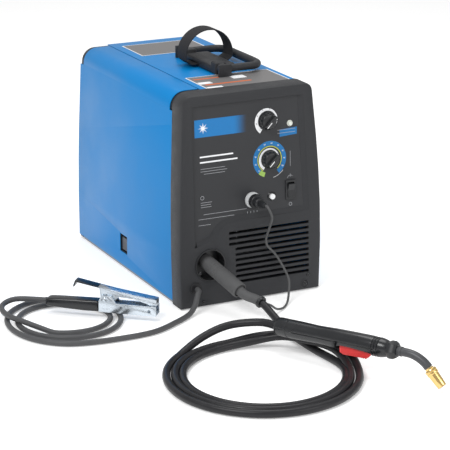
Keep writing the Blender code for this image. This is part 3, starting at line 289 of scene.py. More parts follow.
# %% The finishes of the machine
powder_blue = finish("powder_blue", (0.0, 0.190, 0.500), 0.38, grain=(1500, 0.05), mottle=(12, 0.04),
                     gloss=0.22)
textured_black = finish("textured_black", (0.026, 0.027, 0.030), 0.50, grain=(1900, 0.32),
                        mottle=(60, 0.10))
smooth_black = finish("smooth_black", (0.017, 0.018, 0.020), 0.32, grain=(700, 0.04), mottle=(30, 0.08),
                      gloss=0.4)
satin_black = finish("satin_black", (0.012, 0.013, 0.015), 0.24, grain=(500, 0.05), mottle=(25, 0.10),
                     gloss=0.5)
panel_black = finish("panel_black", (0.030, 0.031, 0.034), 0.46, grain=(2600, 0.14), mottle=(40, 0.06))
boot_rubber = finish("boot_rubber", (0.085, 0.086, 0.088), 0.62, grain=(1300, 0.16), mottle=(45, 0.14))
cable_rubber = finish("cable_rubber", (0.017, 0.017, 0.019), 0.38, grain=(260, 0.16), mottle=(70, 0.22))
grey_jacket = finish("grey_jacket", (0.070, 0.071, 0.074), 0.48, grain=(420, 0.14), mottle=(80, 0.16))
webbing_black = finish("webbing_black", (0.020, 0.020, 0.022), 0.80, grain=(700, 0.5), mottle=(300, 0.30),
                       stretch=(1, 3, 1))
light_plastic = finish("light_plastic", (0.52, 0.53, 0.54), 0.38, grain=(900, 0.05), mottle=(120, 0.05))
white_plastic = finish("white_plastic", (0.82, 0.83, 0.84), 0.32, grain=(900, 0.04), mottle=(120, 0.04))
trigger_red = finish("trigger_red", (0.70, 0.050, 0.050), 0.38, grain=(900, 0.10), mottle=(90, 0.08))
zinc_plate = finish("zinc_plate", (0.60, 0.66, 0.72), 0.30, 1.0, (260, 0.10), (140, 0.16), shift=0.12)
dark_steel = finish("dark_steel", (0.060, 0.061, 0.065), 0.42, 0.6, (420, 0.10), (60, 0.18))
neck_grey = finish("neck_grey", (0.075, 0.077, 0.082), 0.38, 0.3, (500, 0.08), (60, 0.15))
brass_bright = finish("brass_bright", (0.80, 0.56, 0.22), 0.20, 1.0, (380, 0.06), (110, 0.12), shift=0.08)
copper_warm = finish("copper_warm", (0.62, 0.26, 0.13), 0.30, 1.0, (320, 0.10), (120, 0.20), shift=0.10)
spring_brown = finish("spring_brown", (0.16, 0.070, 0.040), 0.45, 0.5, (320, 0.10), (150, 0.25))
cast_alloy = finish("cast_alloy", (0.70, 0.71, 0.72), 0.42, 1.0, (420, 0.22), (60, 0.10))
grey_paint = finish("grey_paint", (0.27, 0.28, 0.29), 0.45, grain=(1200, 0.06), mottle=(20, 0.05))
core_laminate = finish("core_laminate", (0.13, 0.13, 0.14), 0.55, 0.6, (900, 0.35), (40, 0.15),
                       stretch=(1, 8, 1))
winding_lacquer = finish("winding_lacquer", (0.42, 0.15, 0.05), 0.35, 0.4, (500, 0.40), (90, 0.25),
                         stretch=(1, 1, 6))
board_green = finish("board_green", (0.020, 0.17, 0.075), 0.40, grain=(600, 0.10), mottle=(140, 0.25))
welding_wire = finish("welding_wire", (0.66, 0.42, 0.26), 0.28, 1.0, (1500, 0.45), (60, 0.14),
                      stretch=(5, 1, 1))
print("finishes:", len(bpy.data.materials))

# %% [markdown]
# The CAD nodes that stay as they are only need a finish in their material slot. The table says
# which finish each one wears.

# %% Dress the CAD nodes that stay
WEARS = {
    smooth_black: ["latch_frame", "door_latch", "switch_bezel", "capacitor", "fan_blade", "gun_socket",
                   "spool_spindle", "wire_spool", "pressure_arm", "tension_knob", "power_rocker",
                   "cable_clip"],
    panel_black: ["control_plate"],
    cable_rubber: ["work_cable_gland"],
    zinc_plate: ["drive_roll", "pressure_roll", "clamp_pivot_pin"],
    dark_steel: ["feed_motor", "fan_motor", "fan_shroud"],
    grey_paint: ["base_pan", "baffle_plate"],
    cast_alloy: ["feed_housing", "rectifier_heatsink"],
    brass_bright: ["gas_inlet_fitting", "gas_valve", "gun_adapter", "gas_diffuser"],
    copper_warm: ["contact_tip"],
    winding_lacquer: ["transformer_winding"],
    core_laminate: ["transformer_core"],
    board_green: ["circuit_board"],
    welding_wire: ["wire_winding"],
}


def wear(piece, mat):
    piece.data.materials.clear()
    piece.data.materials.append(mat)


for mat, nodes in WEARS.items():
    for node in nodes:
        wear(NODES[node], mat)
print("dressed", sum(len(nodes) for nodes in WEARS.values()), "CAD nodes")

# %% [markdown]
# ## Working by hand
# An operator works on whatever is selected, so every piece starts from an empty selection. The
# helpers here add a primitive, shape it in edit mode and settle it, so that its place is in its
# mesh and its object stands at the origin.

# %% Picking and naming
WELD = 0.000002


def fresh():
    if bpy.context.mode != "OBJECT":
        bpy.ops.object.mode_set(mode="OBJECT")
    bpy.ops.object.select_all(action="DESELECT")


def pick(piece):
    fresh()
    piece.select_set(True)
    bpy.context.view_layer.objects.active = piece
    return piece


def call_it(name):
    piece = bpy.context.object
    piece.name = piece.data.name = name
    return piece


print("points closer than", WELD * 1e6, "micrometres are merged")

# %% Settling and finishing a piece
def settle(piece, place, smooth_angle=35):
    """Moves a piece by a place, sinks that into its mesh and smooths its shallow edges."""
    pick(piece)
    piece.matrix_world = place @ piece.matrix_world
    bpy.ops.object.transform_apply(location=True, rotation=True, scale=True)
    bpy.ops.object.shade_smooth_by_angle(angle=math.radians(smooth_angle))
    return piece


def give(piece, mat, body, slot, *replaced):
    """Finish, body and the CAD nodes that the piece stands for. The material slot is not used."""
    wear(piece, mat)
    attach(piece, body)
    if replaced:
        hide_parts(*replaced)
    return piece


print("settle and give are ready")

# %% Applying modifiers and copying
def apply_all(piece):
    pick(piece)
    for modifier in list(piece.modifiers):
        bpy.ops.object.modifier_apply(modifier=modifier.name)


def copies_round(piece, axis_place, count, span=math.tau):
    """The piece and its copies, spread evenly round the Z axis of a place, each with its own mesh."""
    row = [piece]
    for k in range(1, count):
        copy = piece.copy()
        copy.data = piece.data.copy()
        turn = axis_place @ Matrix.Rotation(span * k / count, 4, "Z") @ axis_place.inverted()
        copy.data.transform(turn)
        bpy.context.scene.collection.objects.link(copy)
        row.append(copy)
    return row


print("apply_all and copies_round are ready")

# %% [markdown]
# Knobs, nuts, lenses and nozzles are turned on a lathe or moulded round, so half of their outline
# is enough. One vertex is extruded along that outline, and the line is spun about the Z axis.

# %% Turned pieces
HERE = Matrix.Identity(4)


def turn_piece(name, profile, place=HERE, steps=40):
    """Draws a profile of (radius, height) points by extruding one vertex, then spins it."""
    fresh()
    bpy.ops.mesh.primitive_plane_add(size=0.01)
    piece = call_it(name)
    bpy.ops.object.mode_set(mode="EDIT")
    bpy.ops.mesh.select_all(action="SELECT")
    bpy.ops.mesh.merge(type="CENTER")
    at = Vector((profile[0][0], 0, profile[0][1]))
    bpy.ops.transform.translate(value=at)
    for radius, height in profile[1:]:
        to = Vector((radius, 0, height))
        bpy.ops.mesh.extrude_region_move(TRANSFORM_OT_translate={"value": to - at})
        at = to
    bpy.ops.mesh.select_all(action="SELECT")
    bpy.ops.mesh.remove_doubles(threshold=WELD)
    bpy.ops.mesh.spin(steps=steps, angle=math.tau, center=(0, 0, 0), axis=(0, 0, 1))
    bpy.ops.mesh.select_all(action="SELECT")
    bpy.ops.mesh.remove_doubles(threshold=WELD)
    bpy.ops.mesh.normals_make_consistent(inside=False)
    bpy.ops.object.mode_set(mode="OBJECT")
    return settle(piece, place)


print("turn_piece spins a profile")

# %% [markdown]
# Three more ways of making a piece cover the rest: a block with rounded edges, a sheet cut to an
# outline, and a round bar bent along a line.

# %% Blocks
def block_piece(name, low, high, round_by, place=HERE, segments=3):
    """A block between two corners, with all its edges rounded."""
    fresh()
    middle = [(a + b) / 2 for a, b in zip(low, high)]
    size = [b - a for a, b in zip(low, high)]
    bpy.ops.mesh.primitive_cube_add(size=1, location=middle, scale=size)
    piece = call_it(name)
    bpy.ops.object.transform_apply(location=True, rotation=True, scale=True)
    bpy.ops.object.mode_set(mode="EDIT")
    bpy.ops.mesh.select_all(action="SELECT")
    bpy.ops.mesh.bevel(offset=round_by, segments=segments, affect="EDGES", clamp_overlap=True)
    bpy.ops.object.mode_set(mode="OBJECT")
    return settle(piece, place)


print("block_piece rounds all edges of a block")

# %% Cut sheets
def sheet_piece(name, outlines, thick, place=HERE, round_by=0.0, segments=2):
    """A flat curve given thickness, made a mesh and its edges rounded. A second outline is a hole."""
    curve = bpy.data.curves.new(name, "CURVE")
    curve.dimensions = "2D"
    curve.fill_mode = "BOTH"
    curve.extrude = thick / 2
    for outline in outlines:
        spline = curve.splines.new("POLY")
        spline.points.add(len(outline) - 1)
        for point, (u, v) in zip(spline.points, outline):
            point.co = (u, v, 0, 1)
        spline.use_cyclic_u = True
    piece = bpy.data.objects.new(name, curve)
    bpy.context.scene.collection.objects.link(piece)
    pick(piece)
    bpy.ops.object.convert(target="MESH")
    piece = call_it(name)
    bpy.ops.object.mode_set(mode="EDIT")
    bpy.ops.mesh.select_all(action="SELECT")
    bpy.ops.mesh.remove_doubles(threshold=WELD)
    bpy.ops.mesh.dissolve_limited(angle_limit=math.radians(1))
    bpy.ops.mesh.normals_make_consistent(inside=False)
    bpy.ops.object.mode_set(mode="OBJECT")
    if round_by:
        bevel = piece.modifiers.new("rounded", "BEVEL")
        bevel.width = round_by
        bevel.segments = segments
        apply_all(piece)
    return settle(piece, place)


print("sheet_piece cuts a sheet to its outline")

# %% Bent bars
def bar_piece(name, points, radius, place=HERE, sides=6):
    """A round bar bent along a line of points."""
    piece = cable(name, points, radius)
    piece.data.bevel_resolution = sides
    pick(piece)
    bpy.ops.object.convert(target="MESH")
    piece = call_it(name)
    bpy.ops.object.mode_set(mode="EDIT")
    bpy.ops.mesh.select_all(action="SELECT")
    bpy.ops.mesh.remove_doubles(threshold=WELD)
    bpy.ops.mesh.normals_make_consistent(inside=False)
    bpy.ops.object.mode_set(mode="OBJECT")
    return settle(piece, place)


print("bar_piece bends a round bar")

# %% Joining and cutting
def joined(name, *pieces):
    pick(pieces[0])
    for piece in pieces[1:]:
        piece.select_set(True)
    bpy.ops.object.join()
    return call_it(name)


def cut_away(piece, *tools):
    """Cuts each tool out of the piece and removes the tool."""
    for tool in tools:
        step = piece.modifiers.new("cut", "BOOLEAN")
        step.operation = "DIFFERENCE"
        step.object = tool
        step.solver = "EXACT"
        apply_all(piece)
        bpy.data.objects.remove(tool, do_unlink=True)
    return piece


print("joined and cut_away are ready")

# %% [markdown]
# A CAD part has sharp edges, and a real moulding or bent sheet never does. Its mesh is left alone:
# a copy is merged into whole faces, cut where a hole is missing, and bevelled by a fraction of a
# millimetre.

# %% Refined copies of CAD parts
def refined(node, edge, segments=2, angle=30, tools=()):
    """A merged copy of a CAD node, cut by the tools, with edges softened so that they catch the light."""
    piece = bpy.data.objects.new(node + "_shell", NODES[node].data.copy())
    bpy.context.scene.collection.objects.link(piece)
    pick(piece)
    if piece.data.has_custom_normals:
        bpy.ops.mesh.customdata_custom_splitnormals_clear()
    bpy.ops.object.mode_set(mode="EDIT")
    bpy.ops.mesh.select_all(action="SELECT")
    bpy.ops.mesh.remove_doubles(threshold=WELD)
    bpy.ops.mesh.dissolve_limited(angle_limit=math.radians(0.6))
    bpy.ops.object.mode_set(mode="OBJECT")
    cut_away(piece, *tools)
    bevel = piece.modifiers.new("soft edges", "BEVEL")
    bevel.width = edge
    bevel.segments = segments
    bevel.limit_method = "ANGLE"
    bevel.angle_limit = math.radians(angle)
    apply_all(piece)
    return settle(piece, HERE, 32)


print("refined copies a CAD part and softens its edges")

# %% [markdown]
# ## Covers and panels
# The sheet-metal covers and the moulded front have small rounded edges on the real machine. A
# merged copy of each CAD part with a fine bevel keeps its exact shape and gains those highlights.

# %% Sheet covers, front and rear panel
SHELLS = [("wrapper", 0.0004, powder_blue, "case", "blue_paint"),
          ("door", 0.0004, powder_blue, "door", "blue_paint"),
          ("front_panel", 0.0009, textured_black, "case", "black_plastic"),
          ("rear_panel", 0.0006, textured_black, "case", "black_plastic"),
          ("handle_base", 0.0008, textured_black, "case", "black_plastic"),
          ("power_cord_gland", 0.0005, smooth_black, "case", "black_plastic")]
for node, edge, mat, body, slot in SHELLS:
    shell = give(refined(node, edge), mat, body, slot, node)
    print(shell.name, len(shell.data.polygons), "faces")

# %% [markdown]
# A moulded step runs down the right side of the control area and along its foot, over the gun
# socket. It is a sloping band: a flat cut-out whose inner edge is pushed down to the plate.

# %% The sloping band round the controls
STEP_WIDE = 0.0095
foot = [(0.1150, 0.1465), (0.0380, 0.1455), (-0.0280, 0.1455), (-0.0480, 0.1415), (-0.0600, 0.1325),
        (-0.0710, 0.1175), (-0.1030, 0.1075)]
outer_edge = [(0.1040, 0.3560)] + foot
inner_edge = [(0.1040 - STEP_WIDE, 0.3560), (0.1150 - STEP_WIDE, 0.1465 + STEP_WIDE)]
inner_edge += [(0.0380, 0.1455 + STEP_WIDE), (-0.0310, 0.1455 + STEP_WIDE), (-0.0530, 0.1500),
               (-0.0680, 0.1385), (-0.0775, 0.1255), (-0.1030, 0.1075 + STEP_WIDE)]
band = sheet_piece("control_step", [outer_edge + inner_edge[::-1]], 0.0004)
bpy.ops.object.mode_set(mode="EDIT")
bpy.ops.mesh.select_all(action="DESELECT")
bpy.ops.object.mode_set(mode="OBJECT")
for vertex in band.data.vertices:
    vertex.select = any((Vector(p) - vertex.co.xy).length < 0.0006 for p in inner_edge)
bpy.ops.object.mode_set(mode="EDIT")
bpy.ops.transform.translate(value=(0, 0, -0.0031))
bpy.ops.object.mode_set(mode="OBJECT")
settle(band, on_face(0, 0, -0.0004), 20)
give(band, textured_black, "case", "black_plastic")
print("band with", len(band.data.vertices), "corners")

# %% [markdown]
# ## Knobs
# Each dial knob is a turned skirt with a fluted rim and a raised finger bar across it. A white
# line along the bar points at the scale.

# %% Fluted knobs with a pointer
VOLTAGE_AT, SPEED_AT = (0.0361, 0.3142), (0.0401, 0.2459)
KNOB_TURN = Matrix.Rotation(math.radians(-45), 4, "Z")


def dial_knob(body, at):
    place = on_face(*at, -SEAT) @ KNOB_TURN
    skirt = turn_piece(f"{body}_skirt", [(0, 0.0118), (0.0108, 0.0120), (0.0126, 0.0112), (0.0136, 0.0096),
                                         (0.0147, 0.0030), (0.0154, 0.0012), (0.0154, 0.0004),
                                         (0.0030, 0.0004), (0.0030, -0.0160), (0, -0.0160)], place, 48)
    bar = block_piece(f"{body}_grip", (-0.0030, -0.0134, 0.0080), (0.0030, 0.0134, 0.0196), 0.0013, place)
    flute = block_piece(f"{body}_flute", (0.0134, -0.0007, 0.0020), (0.0151, 0.0007, 0.0104), 0.0004, place,
                        1)
    flutes = copies_round(flute, place, 16)
    cap = give(joined(f"{body}_cap", skirt, bar, *flutes), smooth_black, body, "black_plastic", body)
    line = block_piece(f"{body}_pointer", (-0.0007, -0.0130, 0.0190), (0.0007, -0.0006, 0.0199), 0.0002,
                       place, 1)
    give(line, white_plastic, body, "white_plastic")
    return cap


for body, at in (("voltage_knob", VOLTAGE_AT), ("wire_speed_knob", SPEED_AT)):
    print(dial_knob(body, at).name, "made")

# %% [markdown]
# ## Printed scales
# The scales are screen-printed rings on the control plate. Thin flat ring sectors stand in for
# the ink, one for each colour, and a scale that runs out narrows towards its end.

# %% Ring outlines and an ink finish
INK = 0.00012


def arc_points(radius, start, end, count=40):
    return [(radius * math.cos(a), radius * math.sin(a))
            for a in np.radians(np.linspace(start, end, count))]


def ring_sector(name, inner, outer, start, end, at, mat, slot="white_plastic", lift=INK, thin_end=None):
    """Ink in the shape of a ring sector. thin_end narrows it towards its end."""
    outside = arc_points(outer, start, end)
    if thin_end:
        narrow = np.linspace(outer, thin_end, len(outside))
        outside = [(x * r / outer, y * r / outer) for (x, y), r in zip(outside, narrow)]
    inside = arc_points(inner, end, start)
    piece = sheet_piece(name, [outside + inside], INK, on_face(*at, lift - SEAT))
    return give(piece, mat, "case", slot)


def ink(name, color, scale=260, amount=0.06):
    return finish(name, color, 0.42, grain=(1600, 0.03), mottle=(scale, amount))


ink_white = ink("ink_white", (0.80, 0.81, 0.83))
ink_blue = ink("ink_blue", (0.012, 0.155, 0.40))
ink_green = ink("ink_green", (0.30, 0.47, 0.10))
ink_yellow = ink("ink_yellow", (0.48, 0.52, 0.10))
ink_grey = ink("ink_grey", (0.34, 0.35, 0.37))
ink_orange = ink("ink_orange", (0.56, 0.13, 0.045))
print("inks are ready")

# %% Upper and lower scale
ring_sector("voltage_scale", 0.0175, 0.0250, 236, -22, VOLTAGE_AT, ink_white, thin_end=0.0194)
ring_sector("speed_scale_inner", 0.0166, 0.0215, 236, 10, SPEED_AT, ink_white, thin_end=0.0186)
ring_sector("speed_scale_line", 0.0221, 0.0236, 236, -50, SPEED_AT, ink_yellow)
ring_sector("speed_scale_outer", 0.0242, 0.0322, 226, -56, SPEED_AT, ink_blue)
ring_sector("speed_scale_end", 0.0242, 0.0322, 250, 227, SPEED_AT, ink_green)
ring_sector("speed_scale_tail", 0.0334, 0.0340, -40, -78, SPEED_AT, ink_white)
print("scales printed")

# %% Numbers on the scales
def printed(text, size, x, up, mat, name, slot="white_plastic", turn=0.0):
    fresh()
    bpy.ops.object.text_add()
    piece = call_it(name)
    piece.data.body = text
    piece.data.size = size
    piece.data.align_x, piece.data.align_y = "CENTER", "CENTER"
    piece.data.extrude = INK / 2
    pick(piece)
    bpy.ops.object.convert(target="MESH")
    piece = call_it(name)
    settle(piece, on_face(x, up, 2.6 * INK - SEAT) @ Matrix.Rotation(turn, 4, "Z"))
    return give(piece, mat, "case", slot)


for k in range(7):
    angle = math.radians(228 - 38 * k)
    printed(str(k + 1), 0.0036, VOLTAGE_AT[0] + 0.0210 * math.cos(angle),
            VOLTAGE_AT[1] + 0.0210 * math.sin(angle), satin_black, f"voltage_number_{k + 1}",
            "black_plastic")
for k in range(10):
    angle = math.radians(222 - 28 * k)
    printed(str((k + 1) * 10), 0.0034, SPEED_AT[0] + 0.0281 * math.cos(angle),
            SPEED_AT[1] + 0.0281 * math.sin(angle), ink_white, f"speed_number_{k + 1}")
print("numbers printed")

# %% [markdown]
# The rest of the printing is generic: a blue strip that fades out, with a plain eight-rayed spark
# and no name in it, a few rules, switch and socket marks and a small blue flag by the lamp.

# %% The fading name strip
PLATE_COLOR = (0.030, 0.031, 0.034, 1)
FADE_FROM, FADE_TO = -0.030, -0.002


def label(name, left, right, low, high, mat, slot="blue_paint", lift=INK, skew=0.0):
    outline = [(left, low), (right, low + skew), (right, high + skew), (left, high)]
    return give(sheet_piece(name, [outline], INK, on_face(0, 0, lift - SEAT)), mat, "case", slot)


fading = ink("ink_fading_blue", (0.012, 0.170, 0.44))
tree = fading.node_tree
where = tree.nodes.new("ShaderNodeSeparateXYZ")
tree.links.new(tree.nodes["Texture Coordinate"].outputs["Object"], where.inputs["Vector"])
fade = tree.nodes.new("ShaderNodeMapRange")
fade.interpolation_type = "SMOOTHSTEP"
fade.inputs["From Min"].default_value, fade.inputs["From Max"].default_value = FADE_FROM, FADE_TO
tree.links.new(where.outputs["X"], fade.inputs["Value"])
to_black = tree.nodes.new("ShaderNodeMix")
to_black.data_type = "RGBA"
to_black.inputs["B"].default_value = PLATE_COLOR
tree.links.new(fade.outputs["Result"], to_black.inputs["Factor"])
tree.links.new(tree.nodes["tint"].outputs["Result"], to_black.inputs["A"])
tree.links.new(to_black.outputs["Result"], tree.nodes["Principled BSDF"].inputs["Base Color"])
label("name_strip", -0.1020, -0.0010, 0.2992, 0.3298, fading)
print("name strip fades out over", round((FADE_TO - FADE_FROM) * 1000), "mm")

# %% Flag, spark and rules
label("lamp_flag", 0.0600, 0.0935, 0.2830, 0.2955, ink_blue, skew=0.0020)
SPARK_RAYS, SPARK_TIP, SPARK_WAIST = 8, 0.0095, 0.0028
spark_turns = np.radians(np.arange(0, 360, 180 / SPARK_RAYS))
spark = [(r * math.cos(a), r * math.sin(a)) for a, r in zip(spark_turns, [SPARK_TIP, SPARK_WAIST] * SPARK_RAYS)]
give(sheet_piece("spark_mark", [spark], INK, on_face(-0.0860, 0.3145, 2 * INK - SEAT)), ink_white, "case",
     "white_plastic")
HEADING_THICK, LINE_THICK = 0.0026, 0.0007
for k, (left, right, up) in enumerate([(-0.093, -0.030, 0.2650), (-0.093, -0.022, 0.2555),
                                       (-0.092, -0.046, 0.2440), (-0.092, -0.042, 0.2395),
                                       (-0.086, -0.046, 0.2350), (-0.088, -0.006, 0.1640),
                                       (-0.098, -0.030, 0.1560), (-0.098, -0.075, 0.1455),
                                       (0.0560, 0.0900, 0.2950), (0.0560, 0.0900, 0.2895),
                                       (-0.093, -0.072, 0.1850), (-0.093, -0.074, 0.1810),
                                       (-0.093, -0.073, 0.1770)]):
    thick = HEADING_THICK if k < 2 else LINE_THICK
    label(f"rule_{k + 1}", left, right, up - thick / 2, up + thick / 2, ink_white if k < 2 else ink_grey,
          "white_plastic", 2 * INK)
print("strips and rules printed")

# %% Marks beside the switch, button and lamp
ring_sector("switch_mark_off", 0.0024, 0.0031, 0, 360, (0.0800, 0.1610), ink_grey)
label("switch_mark_on", 0.0796, 0.0804, 0.2100, 0.2155, ink_grey, "white_plastic")
ring_sector("switch_arc", 0.0050, 0.0057, 40, 170, (0.0800, 0.2075), ink_grey)
ring_sector("socket_mark", 0.0028, 0.0035, 0, 360, (-0.0900, 0.1935), ink_grey)
for k in range(4):
    label(f"socket_tick_{k + 1}", -0.0045 + k * 0.0062, -0.0037 + k * 0.0062, 0.1535, 0.1585, ink_grey,
          "white_plastic")
label("wire_line", 0.0800, 0.0806, 0.2290, 0.2560, ink_grey, "white_plastic")
print("small marks printed")

# %% [markdown]
# ## Lamp, button and trigger plug
# The lamp is a clear lens in a collar. The thin lead ends in a black multi-pin plug whose ring
# screws on to a light receptacle on the panel.

# %% Lamp and reset button
LAMP_AT, BUTTON_AT = (0.0798, 0.3052), (0.0432, 0.1796)
lens_clear = finish("lens_clear", (0.66, 0.68, 0.62), 0.12, grain=(300, 0.05), mottle=(200, 0.10), coat=0.5)
lens = turn_piece("lamp_lens", [(0, 0.0052), (0.0022, 0.0050), (0.0036, 0.0042), (0.0042, 0.0028),
                                (0.0042, 0.0012), (0.0052, 0.0010), (0.0054, 0.0003), (0.0030, 0.0003),
                                (0.0030, -0.0080), (0, -0.0080)], on_face(*LAMP_AT, -SEAT), 32)
give(lens, lens_clear, "case", "lamp_clear", "indicator_lamp")
wear(NODES["reset_button"], white_plastic)
collar = turn_piece("reset_collar", [(0.0062, 0.0016), (0.0074, 0.0014), (0.0082, 0.0006), (0.0082, 0.0001),
                                     (0.0062, 0.0001), (0.0062, 0.0016)], on_face(*BUTTON_AT, -SEAT), 28)
give(collar, satin_black, "case", "black_plastic")
print("lamp and button collar made")

# %% Receptacle and plug
SOCKET = on_face(*SOCKET_AT, -SEAT)
receptacle = turn_piece("lead_receptacle", [(0.0075, 0.0095), (0.0108, 0.0095), (0.0116, 0.0088),
                                            (0.0116, 0.0050), (0.0124, 0.0044), (0.0138, 0.0040),
                                            (0.0140, 0.0004), (0.0075, 0.0004), (0.0075, 0.0095)], SOCKET,
                        40)
give(receptacle, light_plastic, "case", "grey_plastic", "trigger_receptacle")
plug = turn_piece("lead_plug_body", [(0, 0.0098), (0.0118, 0.0098), (0.0124, 0.0104), (0.0124, 0.0208),
                                     (0.0118, 0.0214), (0.0096, 0.0216), (0.0096, 0.0300), (0.0088, 0.0312),
                                     (0.0066, 0.0322), (0.0060, 0.0400), (0.0048, 0.0480),
                                     (0.0038, PLUG_LONG), (0, PLUG_LONG)], SOCKET)
rib = block_piece("lead_plug_rib", (0.0118, -0.0008, 0.0112), (0.0131, 0.0008, 0.0204), 0.0004, SOCKET, 1)
rings = []
for k in range(3):
    height, radius = 0.0345 + 0.0038 * k, 0.0070 - 0.0006 * k
    rings.append(turn_piece(f"lead_plug_ring_{k}",
                            [(0.0030, height), (radius, height), (radius, height + 0.0016),
                             (0.0030, height + 0.0016), (0.0030, height)], SOCKET, 28))
lead_plug = joined("lead_plug", plug, *copies_round(rib, SOCKET, 20), *rings)
give(lead_plug, smooth_black, "case", "black_plastic", "trigger_plug")
print("plug made with 20 ribs")

# %% [markdown]
# ## Screws
# The screws on the front are black cross-head screws. A turned head gets two crossed slots cut
# out of it.

# %% Front screws
def screw(name, place, radius=0.0032):
    head = turn_piece(name, [(0, 0.0016), (radius * 0.55, 0.0014), (radius * 0.9, 0.0008), (radius, 0.0001),
                             (radius, -0.0010), (0, -0.0010)], place, 24)
    slot_tool = block_piece(f"{name}_slot", (-radius * 0.62, -0.00035, 0.0006),
                            (radius * 0.62, 0.00035, 0.0022), 0.0001,
                            place @ Matrix.Rotation(math.radians(30), 4, "Z"), 1)
    return cut_away(head, *copies_round(slot_tool, place, 2, math.pi))


for k, (x, up) in enumerate([(0.1120, 0.0280), (-0.0935, 0.0095), (-0.0990, 0.0620)]):
    give(screw(f"front_screw_{k + 1}", on_face(x, up, 0.0004)), satin_black, "case", "black_plastic")
FOOT_SCREW = on_face(0.1050, 0.0130, 0.0002)
rim = turn_piece("foot_screw_rim", [(0.0060, 0.0010), (0.0070, 0.0008), (0.0078, 0.0001), (0.0078, -0.0004),
                                    (0.0060, -0.0004), (0.0060, 0.0010)], FOOT_SCREW, 32)
give(rim, textured_black, "case", "black_plastic")
give(screw("foot_screw", FOOT_SCREW, 0.0056), smooth_black, "case", "black_plastic")
print("front screws driven")

# %% [markdown]
# ## Gun cable boot
# A soft moulded boot carries the cable out of the case. It leans to one side, so it is turned
# along the line from the socket to its mouth. Grooves let it flex, and its mouth has a rolled
# lip with a thinner sleeve coming out of it.

# %% The boot
BOOT_TAIL = 0.014
boot_long = (BOOT_END - BOOT_START).length
BOOT = Matrix.Translation(BOOT_START) @ out_of_boot.to_track_quat("Z", "Y").to_matrix().to_4x4()
boot_profile = [(0.0068, -BOOT_TAIL), (0.0125, -BOOT_TAIL), (0.0133, 0.0), (0.0135, 0.006)]
for k in range(4):
    at = 0.014 + 0.0052 * k
    boot_profile += [(0.0135, at), (0.0127, at + 0.0010), (0.0127, at + 0.0022), (0.0135, at + 0.0032)]
boot_profile += [(0.0135, boot_long - 0.012), (0.0138, boot_long - 0.006), (0.0134, boot_long - 0.0012),
                 (0.0122, boot_long), (0.0108, boot_long - 0.0006), (0.0102, boot_long - 0.0030),
                 (0.0092, boot_long - 0.0034), (0.0086, boot_long - 0.0010), (0.0078, boot_long - 0.0004),
                 (0.0068, boot_long - 0.0004), (0.0068, -BOOT_TAIL)]
give(turn_piece("cable_boot", boot_profile, BOOT, 44), boot_rubber, "case", "grey_rubber", "gun_boot")
print("boot is", round(boot_long * 1000), "mm long")

# %% The sleeve past the boot and the cable clip
def line_part(line, start, end):
    """The points of a line between two distances along it."""
    run = np.concatenate([[0], np.cumsum(np.linalg.norm(np.diff(np.array(line), axis=0), axis=1))])
    wanted = np.linspace(start, end, max(3, round((end - start) / 0.004)))
    across = [np.interp(wanted, run, np.array(line)[:, i]) for i in range(3)]
    return list(zip(*across))


SLEEVE_LONG, SLEEVE_RADIUS = 0.046, 0.0083
sleeve = bar_piece("cable_sleeve", line_part(gun_line, 0.0, SLEEVE_LONG), SLEEVE_RADIUS, sides=7)
give(sleeve, boot_rubber, "case", "grey_rubber")
along = (Vector(gun_points[3]) - Vector(gun_points[1])).normalized()
CLIP = Matrix.Translation(CLIP_AT) @ along.to_track_quat("Z", "Y").to_matrix().to_4x4()
clip = turn_piece("lead_clip", [(0.0085, -0.0030), (0.0096, -0.0030), (0.0104, -0.0022), (0.0104, 0.0022),
                                (0.0096, 0.0030), (0.0085, 0.0030), (0.0085, -0.0030)], CLIP, 36)
give(clip, smooth_black, "case", "black_plastic", "cable_clip")
print("sleeve and clip made")

# %% [markdown]
# ## The welding gun
# The gun body is a turned handle with grooves near its front, a long seam and a pocket for the
# trigger. Its own frame has Z along the gun and Y towards the trigger, so every part of it can be
# drawn straight and then put in place.

# %% The gun's frame
down = Vector((0, 0, -1)) - GUN_AXIS * GUN_AXIS.dot(Vector((0, 0, -1)))
down.normalize()
GUN = Matrix((down.cross(GUN_AXIS), down, GUN_AXIS)).transposed().to_4x4()
GUN.translation = GUN_REAR
print("gun is", round(GUN_LONG * 1000), "mm long without its neck")

# %% Handle body
handle_profile = [(0, GUN_LONG), (0.0118, GUN_LONG), (0.0138, GUN_LONG - 0.0040),
                  (0.0152, GUN_LONG - 0.0100)]
for k in range(3):
    at = GUN_LONG - 0.0125 - 0.0050 * k
    handle_profile += [(0.0157, at), (0.0147, at - 0.0006), (0.0147, at - 0.0018), (0.0158, at - 0.0024)]
handle_profile += [(0.0162, 0.1800), (0.0162, 0.1500), (0.0158, 0.1100), (0.0150, 0.0920), (0.0146, 0.0800),
                   (0.0149, 0.0600), (0.0153, 0.0400), (0.0153, 0.0260), (0.0144, 0.0250), (0.0144, 0.0235),
                   (0.0153, 0.0225), (0.0153, 0.0060), (0.0146, 0.0020), (0.0132, 0.0), (0, 0)]
body_shell = turn_piece("gun_body", handle_profile, GUN, 48)
pocket = block_piece("trigger_pocket", (-0.0200, -0.0015, 0.1180), (0.0200, 0.0300, 0.1840), 0.0010, GUN, 1)
seam = block_piece("gun_seam", (0.0140, -0.0004, 0.0300), (0.0200, 0.0004, 0.1900), 0.0001, GUN, 1)
body_shell = cut_away(body_shell, pocket, *copies_round(seam, GUN, 2))
cheek_shape = [(0.0000, 0.1190), (0.0000, 0.1830), (0.0096, 0.1830), (0.0082, 0.1720), (0.0064, 0.1450),
               (0.0060, 0.1290), (0.0080, 0.1190)]
SIDEWAYS = Matrix(((0, 0, 1, 0), (1, 0, 0, 0), (0, 1, 0, 0), (0, 0, 0, 1)))
